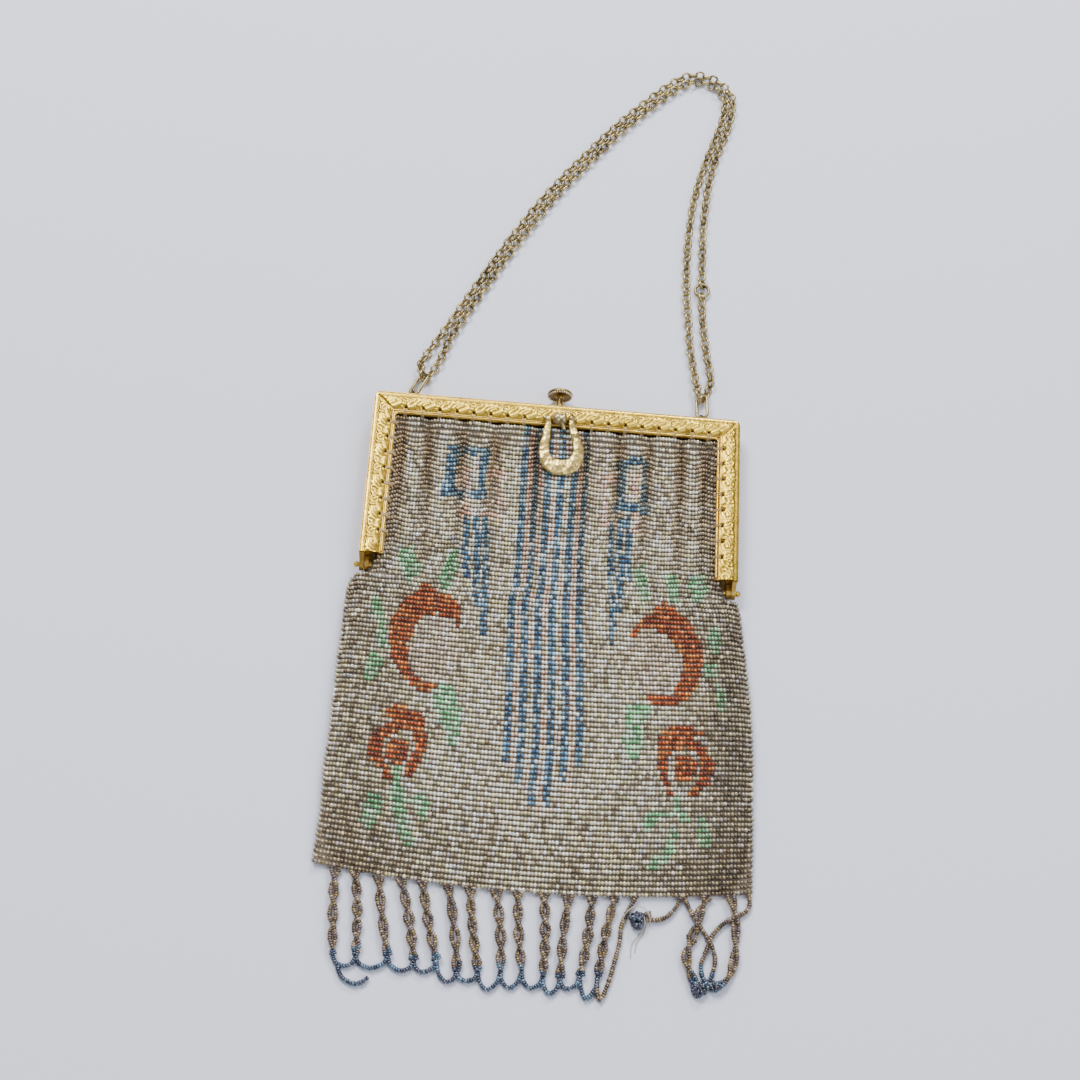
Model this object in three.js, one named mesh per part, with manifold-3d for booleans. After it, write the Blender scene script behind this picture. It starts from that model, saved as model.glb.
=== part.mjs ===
// Beaded flapper purse lying on its back: gilt frame, doubled chain, gathered bead bag and fringe.
// Millimetres, +Z up. X runs along the frame's top bar and Y away from the fringe, towards the chain.
// While it is built, y = 0 is the outer edge of the top bar and z = 0 is the surface that the purse lies on.
import * as THREE from 'three';
import { mergeVertices } from 'three/addons/utils/BufferGeometryUtils.js';
import Module from 'manifold-3d';

const wasm = await Module();
wasm.setup();

// Frame
const frameWidth = 135;
const legLength = 64.2;
const frameDepth = 10;
const cornerRadius = 2.6;
const plateWidth = 7.4;
const railWidth = 1.4;
const railOverlap = 0.4;
const railDrop = 0.6;
const sheet = 1;
const rimWall = 1.2;
const halfGap = 0.3;
const sewingHoleRadius = 0.6;
const sewingHoleInset = 6.1;
const sewingHolePitch = 6.2;
const claspClear = 8;
const clearance = 0.3;
// How far the drills and other cutting tools run past the faces that they cut
const past = 1;

// Hinges at the ends of the legs
const earThickness = 1.5;
const earRadius = 2.2;
const earInset = 0.4;
const earReach = 3.1;
const hingePinRadius = 0.7;
const hingeBallRadius = 1.1;
const hingeHeadLength = 0.6;

// Push knob and horseshoe pull
const claspX = 0.6;
const stemRadius = 1.1;
const stemInside = 3.2;
const knobRadius = 4.6;
const knobReach = 8.2;
const knobHead = 2.2;
const collarRadius = 1.9;
const collarThickness = 1.2;
const collarInset = 0.8;
const pullInset = 6.3;
const pullLength = 22;
const pullHalfWidth = 7.9;
const pullArm = 2.4;
const pullBand = 6.9;
const pullThickness = 1.5;
const pullBallRadius = 1.5;
const pullBallX = 4.9;
const pullPinRadius = 0.5;
const bossHalfWidth = 2.6;
const bossShankRadius = 1;
const rivetThickness = 0.8;
const tabWidth = 2;
const tabLength = 2.8;
const tabThickness = 0.8;
const tabOffset = 0.6;

// Lugs, rings and chain
const lugInset = 13.3;
const lugReach = 2.6;
const lugHeight = 3.6;
const lugRadius = 1.35;
const lugWire = 0.45;
const lugPostRadius = 0.63;
const ringLength = 11.6;
const ringWidth = 5.6;
const ringWire = 0.55;
const ringTwist = THREE.MathUtils.degToRad(40);
const chainRadius = 1.5;
const chainHeight = 1.6;
const turnWire = 0.5;
const turnRise = 2;
const turnLead = 1.15;
const jumpRadius = 2.65;
const jumpWire = 0.6;
const endLinkRadius = 1.25;
const endLinkWire = 0.35;

// Bag of beadwork
const bagLength = 165.3;
const bagSag = 4.8;
const bagThickness = 8.8;
const bagWall = 1.4;
const bagBottomHalfWidth = 73.8;
const shoulderGap = 0.7;
const gatherDepth = 1.4;
const mouthPast = 3;

// Fringe
const fringeLength = 35;
const strandRadius = 0.8;
const lockHalfWidth = 1.5;
const lockTurns = 1.5;
const lockLift = 0.1;
const swagLift = 0.4;
const bandRadius = 0.9;
const bandHeight = 2.2;
const knotRadius = 2.2;
const wadRadius = 2;

// Values that follow from the sizes above
const legX = frameWidth / 2;
const railEdge = plateWidth - railOverlap + railWidth;
const splitZ = frameDepth / 2;
const mouthY = -(railEdge + clearance);
const mouthHalfWidth = legX - railEdge - clearance;
const hingeY = -(legLength + earReach);
const lugX = legX - lugInset;
const shoulderY = hingeY - earRadius - shoulderGap;
const bottomY = mouthY - bagLength;

// Mesh helpers

function toSolid(geometry) {
  // Shared corners are merged, and a mesh that is inside out is turned.
  geometry.deleteAttribute('normal');
  geometry.deleteAttribute('uv');
  const merged = mergeVertices(geometry, 1e-4);
  const corners = merged.attributes.position.array;
  let faces = Array.from(merged.index.array);
  if (signedVolume(corners, faces) < 0) {
    faces = faces.map((corner, place) => faces[place - (place % 3) + 2 - (place % 3)]);
  }
  return new wasm.Manifold(new wasm.Mesh({
    numProp: 3,
    vertProperties: new Float32Array(corners),
    triVerts: new Uint32Array(faces),
  }));
}

function signedVolume(corners, faces) {
  let volume = 0;
  const a = new THREE.Vector3();
  const b = new THREE.Vector3();
  const c = new THREE.Vector3();
  for (let face = 0; face < faces.length; face += 3) {
    a.fromArray(corners, 3 * faces[face]);
    b.fromArray(corners, 3 * faces[face + 1]);
    c.fromArray(corners, 3 * faces[face + 2]);
    volume += a.dot(b.cross(c)) / 6;
  }
  return volume;
}

function toGeometry(solid) {
  const mesh = solid.getMesh();
  const geometry = new THREE.BufferGeometry();
  geometry.setAttribute('position', new THREE.BufferAttribute(new Float32Array(mesh.vertProperties), 3));
  geometry.setIndex(new THREE.BufferAttribute(new Uint32Array(mesh.triVerts), 1));
  geometry.computeVertexNormals();
  return geometry;
}

function unite(solids) {
  return solids.reduce((whole, solid) => whole.add(solid));
}

function cut(solid, tools) {
  return tools.reduce((rest, tool) => rest.subtract(tool), solid);
}

function block(x0, x1, y0, y1, z0, z1) {
  const geometry = new THREE.BoxGeometry(x1 - x0, y1 - y0, z1 - z0);
  geometry.translate((x0 + x1) / 2, (y0 + y1) / 2, (z0 + z1) / 2);
  return toSolid(geometry);
}

function rod(from, to, radius, sides = 12) {
  // A straight round bar between two points.
  const axis = new THREE.Vector3().subVectors(to, from);
  const geometry = new THREE.CylinderGeometry(radius, radius, axis.length(), sides);
  geometry.applyQuaternion(new THREE.Quaternion().setFromUnitVectors(
    new THREE.Vector3(0, 1, 0), axis.clone().normalize()));
  const middle = new THREE.Vector3().addVectors(from, to).multiplyScalar(0.5);
  geometry.translate(middle.x, middle.y, middle.z);
  return toSolid(geometry);
}

function ball(centre, radius, sides = 12, scale = [1, 1, 1]) {
  const geometry = new THREE.SphereGeometry(radius, sides, Math.round(sides * 0.6));
  geometry.scale(...scale);
  geometry.translate(centre.x, centre.y, centre.z);
  return toSolid(geometry);
}

function tube(points, radius, sides, steps) {
  // A round section carried along a smooth curve through the points.
  const section = new THREE.Shape();
  for (let side = 0; side < sides; side += 1) {
    const angle = (2 * Math.PI * side) / sides;
    const x = radius * Math.cos(angle);
    const y = radius * Math.sin(angle);
    if (side === 0) section.moveTo(x, y);
    else section.lineTo(x, y);
  }
  const path = new THREE.CatmullRomCurve3(points, false, 'centripetal');
  return toSolid(new THREE.ExtrudeGeometry(section, { steps, extrudePath: path, bevelEnabled: false }));
}

function extrude(shape, depth, curveSegments = 8) {
  return new THREE.ExtrudeGeometry(shape, { depth, bevelEnabled: false, curveSegments });
}

function capFaces(ring, frontCount) {
  // Triangles between a ring's front run and its back run. Each step is taken on the run that lags behind.
  const faces = [];
  let front = 0;
  let back = ring.length - 1;
  while (front < frontCount - 1 || back > frontCount) {
    const frontLags = back === frontCount || ring[front + 1].x <= ring[back - 1].x;
    if (front < frontCount - 1 && frontLags) {
      faces.push([front, front + 1, back]);
      front += 1;
    } else {
      faces.push([front, back - 1, back]);
      back -= 1;
    }
  }
  return faces;
}

function skin(rings, closed = false, frontCount = rings[0].length / 2) {
  // A closed skin over rings of equal length. The first and last ring are capped, or joined when closed.
  const count = rings[0].length;
  const positions = rings.flat().flatMap((point) => [point.x, point.y, point.z]);
  const faces = [];
  const bands = closed ? rings.length : rings.length - 1;
  for (let row = 0; row < bands; row += 1) {
    const next = (row + 1) % rings.length;
    for (let place = 0; place < count; place += 1) {
      const after = (place + 1) % count;
      const a = row * count + place;
      const b = row * count + after;
      const c = next * count + after;
      const d = next * count + place;
      faces.push(a, b, c, a, c, d);
    }
  }
  if (!closed) {
    const last = (rings.length - 1) * count;
    for (const [a, b, c] of capFaces(rings[0], frontCount)) faces.push(c, b, a);
    for (const [a, b, c] of capFaces(rings[rings.length - 1], frontCount)) {
      faces.push(last + a, last + b, last + c);
    }
  }
  const geometry = new THREE.BufferGeometry();
  geometry.setAttribute('position', new THREE.Float32BufferAttribute(positions, 3));
  geometry.setIndex(faces);
  return toSolid(geometry);
}

// Frame

function frameOutline(inset, width) {
  // The U seen from the front: a band that starts inset from the outer edge and is width wide.
  const outer = legX - inset;
  const inner = legX - inset - width;
  const top = -inset;
  const foot = -legLength;
  const round = Math.max(cornerRadius - inset, 0.05);
  const shape = new THREE.Shape();
  shape.moveTo(-outer, foot);
  shape.lineTo(-outer, top - round);
  shape.absarc(-outer + round, top - round, round, Math.PI, Math.PI / 2, true);
  shape.lineTo(outer - round, top);
  shape.absarc(outer - round, top - round, round, Math.PI / 2, 0, true);
  shape.lineTo(outer, foot);
  shape.lineTo(inner, foot);
  shape.lineTo(inner, top - width);
  shape.lineTo(-inner, top - width);
  shape.lineTo(-inner, foot);
  return shape;
}

function band(inset, width, z0, z1) {
  const geometry = extrude(frameOutline(inset, width), z1 - z0, 4);
  geometry.translate(0, 0, z0);
  return toSolid(geometry);
}

function ear(side, half) {
  // One hinge ear. The front half's ears lie outside, the back half's ears inside.
  const inner = legX - earInset - (half > 0 ? earThickness : 2 * earThickness + clearance);
  const z = (height) => splitZ + half * height;
  const shape = new THREE.Shape();
  const root = -legLength + sheet;
  shape.moveTo(root, z(halfGap / 2));
  shape.lineTo(root, z(splitZ - sheet / 2));
  shape.lineTo(hingeY, z(earRadius));
  const start = half * Math.PI / 2;
  const bend = 5;
  for (let step = 1; step <= bend; step += 1) {
    const angle = start + half * (step / bend) * Math.PI;
    shape.lineTo(hingeY + earRadius * Math.cos(angle), splitZ + earRadius * Math.sin(angle));
  }
  shape.lineTo(-legLength - clearance, z(-earRadius * 0.6));
  shape.lineTo(-legLength - clearance, z(halfGap / 2));
  const geometry = extrude(shape, earThickness);
  // The shape's own x and y become Y and Z, and its depth becomes X.
  geometry.applyMatrix4(new THREE.Matrix4().makeBasis(
    new THREE.Vector3(0, 1, 0), new THREE.Vector3(0, 0, 1), new THREE.Vector3(1, 0, 0)));
  geometry.translate(side > 0 ? inner : -inner - earThickness, 0, 0);
  return toSolid(geometry);
}

function sewingHoles() {
  // Positions of the sewing holes along the top bar and down both legs.
  const places = [];
  const topReach = legX - sewingHoleInset - sewingHolePitch / 2;
  const topCount = Math.floor((2 * topReach) / sewingHolePitch);
  for (let hole = 0; hole <= topCount; hole += 1) {
    const x = (hole - topCount / 2) * sewingHolePitch;
    if (Math.abs(x - claspX) > claspClear) places.push([x, -sewingHoleInset]);
  }
  const legCount = Math.floor((legLength - 2 * sewingHoleInset) / sewingHolePitch);
  for (let hole = 0; hole < legCount; hole += 1) {
    const y = -2 * sewingHoleInset - hole * sewingHolePitch;
    places.push([-(legX - sewingHoleInset), y], [legX - sewingHoleInset, y]);
  }
  return places;
}

function frameHalf(half) {
  // half is 1 for the front and -1 for the back.
  const face = splitZ + half * splitZ;
  const level = (depth) => face - half * depth;
  const layer = (inset, width, near, far) => {
    const low = Math.min(level(near), level(far));
    return band(inset, width, low, low + Math.abs(far - near));
  };
  const plate = layer(0, plateWidth, 0, sheet);
  const rim = layer(0, rimWall, 0, splitZ - halfGap / 2);
  const rail = layer(plateWidth - railOverlap, railWidth, railDrop, railDrop + sheet);
  const ends = [-1, 1].map((side) => {
    const edges = [side * legX, side * (legX - plateWidth)].sort((a, b) => a - b);
    const heights = [level(0), level(splitZ - halfGap / 2)].sort((a, b) => a - b);
    return block(...edges, -legLength, -legLength + sheet, ...heights);
  });
  const solid = unite([plate, rim, rail, ...ends, ear(-1, half), ear(1, half)]);
  const drills = sewingHoles().map(([x, y]) => rod(
    new THREE.Vector3(x, y, level(-past)), new THREE.Vector3(x, y, level(railDrop + sheet + past)),
    sewingHoleRadius, 5));
  const pinHole = rod(new THREE.Vector3(-legX - past, hingeY, splitZ),
    new THREE.Vector3(legX + past, hingeY, splitZ), hingePinRadius + clearance);
  const stemHole = rod(new THREE.Vector3(claspX, -rimWall - past, splitZ),
    new THREE.Vector3(claspX, past, splitZ), stemRadius + clearance);
  const bossHole = rod(new THREE.Vector3(claspX, -pullInset, level(-past)),
    new THREE.Vector3(claspX, -pullInset, level(sheet + past)), bossShankRadius + clearance);
  const tools = [...drills, pinHole, stemHole];
  return cut(solid, half > 0 ? [...tools, bossHole] : tools);
}

function ringFrame(side) {
  // The elongated ring's axes: along it, across it and square to it. The left ring leans inwards.
  const lean = THREE.MathUtils.degToRad(side < 0 ? 23 : -2);
  const along = new THREE.Vector3(Math.sin(lean), Math.cos(lean), -0.1).normalize();
  const level = new THREE.Vector3(Math.cos(lean), -Math.sin(lean), 0);
  const raised = new THREE.Vector3().crossVectors(level, along);
  const across = level.clone().multiplyScalar(Math.cos(ringTwist))
    .addScaledVector(raised, Math.sin(ringTwist));
  const square = new THREE.Vector3().crossVectors(across, along);
  const lug = new THREE.Vector3(side * lugX, lugReach, lugHeight);
  return { lug, along, across, square };
}

function turned(geometry, across, along, square, centre) {
  // Puts a flat ring made in the XY plane onto the given axes.
  geometry.applyMatrix4(new THREE.Matrix4().makeBasis(across, along, square).setPosition(centre));
  return toSolid(geometry);
}

function lug(side) {
  // A hoop whose hole faces along the ring's short side, on a short post from the rim.
  const { lug: centre, along, across, square } = ringFrame(side);
  const hoop = new THREE.TorusGeometry(lugRadius, lugWire, 5, 12);
  const post = rod(new THREE.Vector3(centre.x, -rimWall / 2, lugHeight),
    new THREE.Vector3(centre.x, lugReach - lugRadius, lugHeight), lugPostRadius, 8);
  return turned(hoop, square, along, across.clone().negate(), centre).add(post);
}

function elongatedRing(side) {
  // A stadium of round wire whose near end passes through the lug.
  const { lug: start, along, across, square } = ringFrame(side);
  const halfWidth = ringWidth / 2 - ringWire;
  const straight = ringLength / 2 - ringWire - halfWidth;
  const centre = start.clone().addScaledVector(along, ringLength / 2 - ringWire);
  const bend = 6;
  const rings = [];
  for (const end of [1, -1]) {
    for (let step = 0; step <= bend; step += 1) {
      const angle = (end > 0 ? 0 : Math.PI) + (step / bend) * Math.PI;
      const out = across.clone().multiplyScalar(Math.cos(angle)).addScaledVector(along, Math.sin(angle));
      const middle = centre.clone().addScaledVector(along, end * straight).addScaledVector(out, halfWidth);
      rings.push(circle(middle, out, square, ringWire, 6));
    }
  }
  return skin(rings, true);
}

function circle(middle, first, second, radius, sides) {
  // The corners of a round section that is spanned by two directions.
  return Array.from({ length: sides }, (_, side) => {
    const angle = (2 * Math.PI * side) / sides;
    return middle.clone().addScaledVector(first, radius * Math.cos(angle))
      .addScaledVector(second, radius * Math.sin(angle));
  });
}

// Chain: its route as a few chosen points, x and y, from the left ring round to the right one

const outerStrandLeft = [
  [-51.6, 18.4], [-44.2, 34.6], [-36.6, 50.6], [-24.8, 74], [-12.4, 95.4], [0.9, 114.6], [15, 132.8],
  [27, 146], [38.6, 157.4], [48.2, 162.6], [58.3, 160], [64.2, 153], [65, 146.4], [63.6, 137.4],
  [60.8, 128.4], [58.2, 120.4], [55.6, 109.6], [54.4, 100.4], [53.2, 89.6], [53, 79], [53, 68],
];
const outerStrandRight = [[53.4, 51], [54, 43.6], [55.4, 32], [56.8, 24.4], [57.2, 19]];
const innerStrand = [
  [-45.2, 18.8], [-40.8, 29], [-34.2, 40.4], [-23.4, 60.6], [-13, 78.6], [-2.4, 96.4], [10.2, 113.6],
  [22.4, 130.4], [32.8, 142.4], [42.6, 152.4], [49.6, 156.4], [56, 154.4], [59.2, 149.4], [58.2, 140.4],
  [55.9, 131.4], [53.6, 123.4], [50.9, 112.4], [48.8, 101], [47.8, 88], [47.2, 77.6], [47, 67],
  [47.3, 55.4], [48.3, 44.3], [49.3, 32.5], [51.2, 21.6],
];
const jumpRingPlace = [53.2, 59.5];
// How far the lugs are from the middle where these points fit. Sideways the points follow the lugs.
const routeLugX = 54.2;

function chainPoints(route) {
  return route.map(([x, y]) => new THREE.Vector3((x * lugX) / routeLugX, y, chainHeight));
}

const jumpRingCentre = chainPoints([jumpRingPlace])[0];

function turn(side, leftEnd, rightEnd) {
  // Fine wire from one strand to the other, down through the elongated ring near its far end.
  const { lug: start, along, square } = ringFrame(side);
  const reach = ringLength - 2 * ringWire - (ringWire + turnWire + clearance + 0.1);
  const through = start.clone().addScaledVector(along, reach);
  const above = through.clone().addScaledVector(square, turnRise).addScaledVector(along, turnLead);
  const below = through.clone().addScaledVector(square, -turnRise).addScaledVector(along, turnLead);
  return tube([leftEnd, above, through, below, rightEnd], turnWire, 5, 9);
}

function chain() {
  const outerLeft = chainPoints(outerStrandLeft);
  const outerRight = chainPoints(outerStrandRight);
  const inner = chainPoints(innerStrand);
  const sides = 8;
  const strands = [
    tube(outerLeft, chainRadius, sides, 32),
    tube(inner, chainRadius, sides, 31),
    tube(outerRight, chainRadius, sides, 4),
  ];
  const turns = [
    turn(-1, outerLeft[0], inner[0]),
    turn(1, inner[inner.length - 1], outerRight[outerRight.length - 1]),
  ];
  const links = [
    [1, outerLeft[outerLeft.length - 1]],
    [-1, outerRight[0]],
  ].flatMap(([end, tip]) => endLink(end, tip));
  return unite([...strands, ...turns, ...links]);
}

function endLink(end, tip) {
  // The last link, round the jump ring's wire, and a short wire to the strand's end.
  const centre = jumpRingCentre.clone().add(new THREE.Vector3(0, end * jumpRadius, 0));
  const link = turned(new THREE.TorusGeometry(endLinkRadius, endLinkWire, 5, 12),
    new THREE.Vector3(0, 1, 0), new THREE.Vector3(0, 0, 1), new THREE.Vector3(1, 0, 0), centre);
  const root = centre.clone().add(new THREE.Vector3(0, end * endLinkRadius, 0));
  return [link, tube([root, root.clone().lerp(tip, 0.5), tip], turnWire, 5, 2)];
}

function jumpRing() {
  const geometry = new THREE.TorusGeometry(jumpRadius, jumpWire, 6, 16);
  geometry.translate(...jumpRingCentre.toArray());
  return toSolid(geometry);
}

// Push knob: turned round the stem's own axis, which points away from the bag

function clasp() {
  const inner = -rimWall - stemInside;
  const collarStart = inner + collarInset;
  const collarEnd = collarStart + collarThickness;
  const neck = knobReach - knobHead;
  const head = (radius, height) => [knobRadius * radius, neck + knobHead * height];
  const profile = [
    [0, inner], [stemRadius, inner], [stemRadius, collarStart], [collarRadius, collarStart],
    [collarRadius, collarEnd], [stemRadius, collarEnd], [stemRadius, neck - stemRadius * 0.7],
    [stemRadius * 1.5, neck], head(0.62, 0.2), head(0.92, 0.43), head(1, 0.64), head(0.94, 0.82),
    head(0.6, 0.95), head(0, 1),
  ].map(([radius, y]) => new THREE.Vector2(radius, y));
  const geometry = new THREE.LatheGeometry(profile, 14);
  geometry.translate(claspX, 0, splitZ);
  return toSolid(geometry);
}

// Horseshoe pull and its boss

const pinHeight = frameDepth + pullBallRadius + clearance;
const pullTilt = Math.atan2(pinHeight - (bagThickness + clearance + pullThickness / 2), pullLength);

function pull() {
  // The pull is drawn with its pin at the origin and its band towards -Y, then tilted to lie on the bag.
  const foot = -pullLength;
  const widestY = foot * 0.6;
  const innerHalf = pullHalfWidth - 1.55 * pullArm;
  const innerFoot = foot + pullBand;
  const topOuter = pullBallX + pullArm / 2;
  const topInner = pullBallX - pullArm / 2;
  const shape = new THREE.Shape();
  shape.moveTo(-topOuter, 0);
  shape.bezierCurveTo(-topOuter, widestY * 0.4, -pullHalfWidth, widestY * 0.6, -pullHalfWidth, widestY);
  shape.bezierCurveTo(-pullHalfWidth, foot * 0.86, -pullHalfWidth * 0.62, foot, 0, foot);
  shape.bezierCurveTo(pullHalfWidth * 0.62, foot, pullHalfWidth, foot * 0.86, pullHalfWidth, widestY);
  shape.bezierCurveTo(pullHalfWidth, widestY * 0.6, topOuter, widestY * 0.4, topOuter, 0);
  shape.lineTo(topInner, 0);
  const bendY = innerFoot * 0.75;
  shape.bezierCurveTo(topInner, innerFoot * 0.4, innerHalf, innerFoot * 0.5, innerHalf, bendY);
  shape.bezierCurveTo(innerHalf, innerFoot * 0.94, innerHalf * 0.6, innerFoot, 0, innerFoot);
  shape.bezierCurveTo(-innerHalf * 0.6, innerFoot, -innerHalf, innerFoot * 0.94, -innerHalf, bendY);
  shape.bezierCurveTo(-innerHalf, innerFoot * 0.5, -topInner, innerFoot * 0.4, -topInner, 0);
  const geometry = extrude(shape, pullThickness, 6);
  geometry.translate(0, 0, -pullThickness / 2);
  const balls = [-1, 1].map((side) => ball(new THREE.Vector3(side * pullBallX, 0, 0), pullBallRadius, 10));
  const pinHole = rod(new THREE.Vector3(-pullHalfWidth, 0, 0), new THREE.Vector3(pullHalfWidth, 0, 0),
    pullPinRadius + clearance, 10);
  const solid = toGeometry(cut(unite([toSolid(geometry), ...balls]), [pinHole]));
  solid.rotateX(pullTilt);
  solid.translate(claspX, -pullInset, pinHeight);
  return toSolid(solid);
}

function boss() {
  // A barrel round the cross pin, a shank through the plate, a head behind it and a small tab in front.
  const at = (x, y, z) => new THREE.Vector3(claspX + x, -pullInset + y, z);
  const barrel = rod(at(-bossHalfWidth, 0, pinHeight), at(bossHalfWidth, 0, pinHeight),
    pullBallRadius * 0.92, 12);
  const pinReach = pullBallX + pullBallRadius + clearance + pullPinRadius * 0.5;
  const pin = rod(at(-pinReach, 0, pinHeight), at(pinReach, 0, pinHeight), pullPinRadius, 8);
  const heads = [-1, 1].map((side) => ball(at(side * pinReach, 0, pinHeight), pullPinRadius * 1.7, 8));
  const rivetTop = frameDepth - railDrop - sheet - clearance;
  const shank = rod(at(0, 0, rivetTop - rivetThickness / 2), at(0, 0, pinHeight), bossShankRadius, 10);
  const washer = rod(at(0, 0, frameDepth + clearance), at(0, 0, pinHeight - pullBallRadius * 0.4),
    bossHalfWidth * 0.75, 12);
  const rivet = rod(at(0, 0, rivetTop - rivetThickness), at(0, 0, rivetTop), bossShankRadius * 1.8, 10);
  const tabX = claspX + tabOffset;
  const tabY = -pullInset - bossShankRadius;
  const tab = block(tabX, tabX + tabWidth, tabY - tabLength, tabY,
    pinHeight - tabThickness / 2, pinHeight + tabThickness / 2);
  return unite([barrel, pin, ...heads, shank, washer, rivet, tab]);
}

// Bag

// Rows beside the frame's legs: share of the way from the mouth to the shoulders below the hinges, share of
// the mouth's half width, share of the thickness, share of the thickness left at the side edges, share of the
// gathers' depth
const legRows = [
  { down: 0, width: 1, thick: 0.97, edge: 1, gather: 1 },
  { down: 0.094, width: 0.997, thick: 0.98, edge: 1, gather: 1 },
  { down: 0.215, width: 0.997, thick: 1, edge: 1, gather: 0.9 },
  { down: 0.403, width: 0.998, thick: 1, edge: 1, gather: 0.75 },
  { down: 0.592, width: 0.999, thick: 1, edge: 1, gather: 0.55 },
  { down: 0.78, width: 1, thick: 0.99, edge: 1, gather: 0.4 },
  { down: 0.9, width: 1, thick: 0.98, edge: 0.9, gather: 0.3 },
];

// Rows from the shoulders to the bottom edge: share of the way down, shares of the bottom's half width for
// the row's own half width and for its shift sideways, and the rest as above
const freeRows = [
  { down: 0, width: 0.84, shift: 0, thick: 0.97, edge: 0.6, gather: 0.22 },
  { down: 0.037, width: 0.928, shift: 0, thick: 0.96, edge: 0.45, gather: 0.15 },
  { down: 0.092, width: 0.95, shift: 0, thick: 0.95, edge: 0.4, gather: 0.08 },
  { down: 0.283, width: 0.97, shift: 0.007, thick: 0.92, edge: 0.4, gather: 0 },
  { down: 0.522, width: 0.988, shift: 0.015, thick: 0.84, edge: 0.4, gather: 0 },
  { down: 0.761, width: 0.993, shift: 0.015, thick: 0.68, edge: 0.4, gather: 0 },
  { down: 0.944, width: 1, shift: 0.014, thick: 0.52, edge: 0.45, gather: 0 },
  { down: 1, width: 1, shift: 0.014, thick: 0.42, edge: 0.6, gather: 0 },
];

const bagRows = [
  ...legRows.map((row) => ({
    ...row,
    y: THREE.MathUtils.lerp(mouthY, shoulderY, row.down),
    half: mouthHalfWidth * row.width,
    middle: 0,
    open: true,
  })),
  ...freeRows.map((row) => ({
    ...row,
    y: THREE.MathUtils.lerp(shoulderY, bottomY, row.down),
    half: bagBottomHalfWidth * row.width,
    middle: bagBottomHalfWidth * row.shift,
    open: false,
  })),
];

// Place across the mouth, from -1 to 1, share of the deepest gather's depth, and drift on the way down
const gathers = [
  { place: -0.95, depth: 0.36, drift: 0 },
  { place: -0.8, depth: 1, drift: 0.05 },
  { place: -0.58, depth: 0.5, drift: 0.02 },
  { place: -0.385, depth: 0.79, drift: 0 },
  { place: -0.12, depth: 0.86, drift: 0 },
  { place: 0.19, depth: 0.86, drift: 0 },
  { place: 0.4, depth: 0.93, drift: -0.03 },
  { place: 0.58, depth: 0.71, drift: -0.02 },
  { place: 0.79, depth: 0.86, drift: -0.02 },
  { place: 0.93, depth: 0.64, drift: 0 },
];
// Share of the bag's length over which the gathers reach their drift
const gatherSettles = 0.4;

// Place across the back, from -1 to 1, and how far the side edge's rounding reaches there
const backColumns = [
  { place: -1, depth: 0, drift: 0, edge: 1 },
  { place: -0.985, depth: 0, drift: 0, edge: 0.3 },
  { place: -0.8, depth: 0, drift: 0, edge: 0 },
  { place: -0.4, depth: 0, drift: 0, edge: 0 },
  { place: 0, depth: 0, drift: 0, edge: 0 },
  { place: 0.4, depth: 0, drift: 0, edge: 0 },
  { place: 0.8, depth: 0, drift: 0, edge: 0 },
  { place: 0.985, depth: 0, drift: 0, edge: 0.3 },
  { place: 1, depth: 0, drift: 0, edge: 1 },
];

function frontColumns() {
  // A column down each gather's valley and each ridge between two gathers, with the back's two at each side.
  const columns = backColumns.slice(0, 2);
  gathers.forEach((gather, index) => {
    columns.push({ ...gather, edge: 0 });
    const next = gathers[index + 1];
    if (next) {
      columns.push({
        place: (gather.place + next.place) / 2, depth: 0, drift: (gather.drift + next.drift) / 2, edge: 0,
      });
    }
  });
  return [...columns, ...backColumns.slice(-2)];
}

function bagRing(row, y, halfWidth, wall) {
  // One section of the bag: the front from left to right, then the back from right to left.
  const thickness = bagThickness * row.thick;
  const along = (mouthY - row.y) / bagLength;
  const settled = Math.min(along / gatherSettles, 1);
  const point = (column, front) => {
    const place = column.place + column.drift * settled;
    const x = row.middle + halfWidth * place;
    const sagged = y - bagSag * along * (1 - place * place);
    const round = (thickness * (1 - row.edge) * column.edge) / 2;
    const top = thickness - round - column.depth * gatherDepth * row.gather - wall;
    return new THREE.Vector3(x, sagged, front ? top : round + wall);
  };
  return [...frontColumns().map((column) => point(column, true)),
    ...backColumns.map((column) => point(column, false)).reverse()];
}

function bagSolid(wall) {
  // The bag's outer form, or with a wall the space inside it, which runs out of the mouth and the side slits.
  const last = bagRows.length - 1;
  const rings = bagRows.map((row, index) => {
    if (wall === 0) return bagRing(row, row.y, row.half, 0);
    const half = row.half + (row.open ? mouthPast : -wall * 1.3);
    const ends = (index === 0 ? mouthPast : 0) + (index === last ? wall * 2 : 0);
    // Near the bottom edge the bag is too thin for two full walls.
    const thin = Math.min(wall, 0.36 * bagThickness * row.thick);
    return bagRing(row, row.y + ends, half, thin);
  });
  return skin(rings, false, frontColumns().length);
}

function bag() {
  return bagSolid(0).subtract(bagSolid(bagWall));
}

// Fringe

// Its points are shares: x of the bottom's half width, down of the fringe's length below the middle of the
// bottom edge, and up of a strand's radius above the surface.

// Where each twisted pair starts on the bottom edge, and where it ends
const pairs = [
  { top: -0.881, x: -0.852, down: 0.731 }, { top: -0.79, x: -0.752, down: 0.703 },
  { top: -0.683, x: -0.611, down: 0.674 }, { top: -0.583, x: -0.495, down: 0.68 },
  { top: -0.485, x: -0.393, down: 0.674 }, { top: -0.369, x: -0.301, down: 0.766 },
  { top: -0.268, x: -0.207, down: 0.749 }, { top: -0.15, x: -0.107, down: 0.72 },
  { top: -0.051, x: -0.014, down: 0.703 }, { top: 0.066, x: 0.081, down: 0.749 },
  { top: 0.18, x: 0.159, down: 0.76 }, { top: 0.285, x: 0.247, down: 0.72 },
  { top: 0.389, x: 0.328, down: 0.749 },
];
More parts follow.
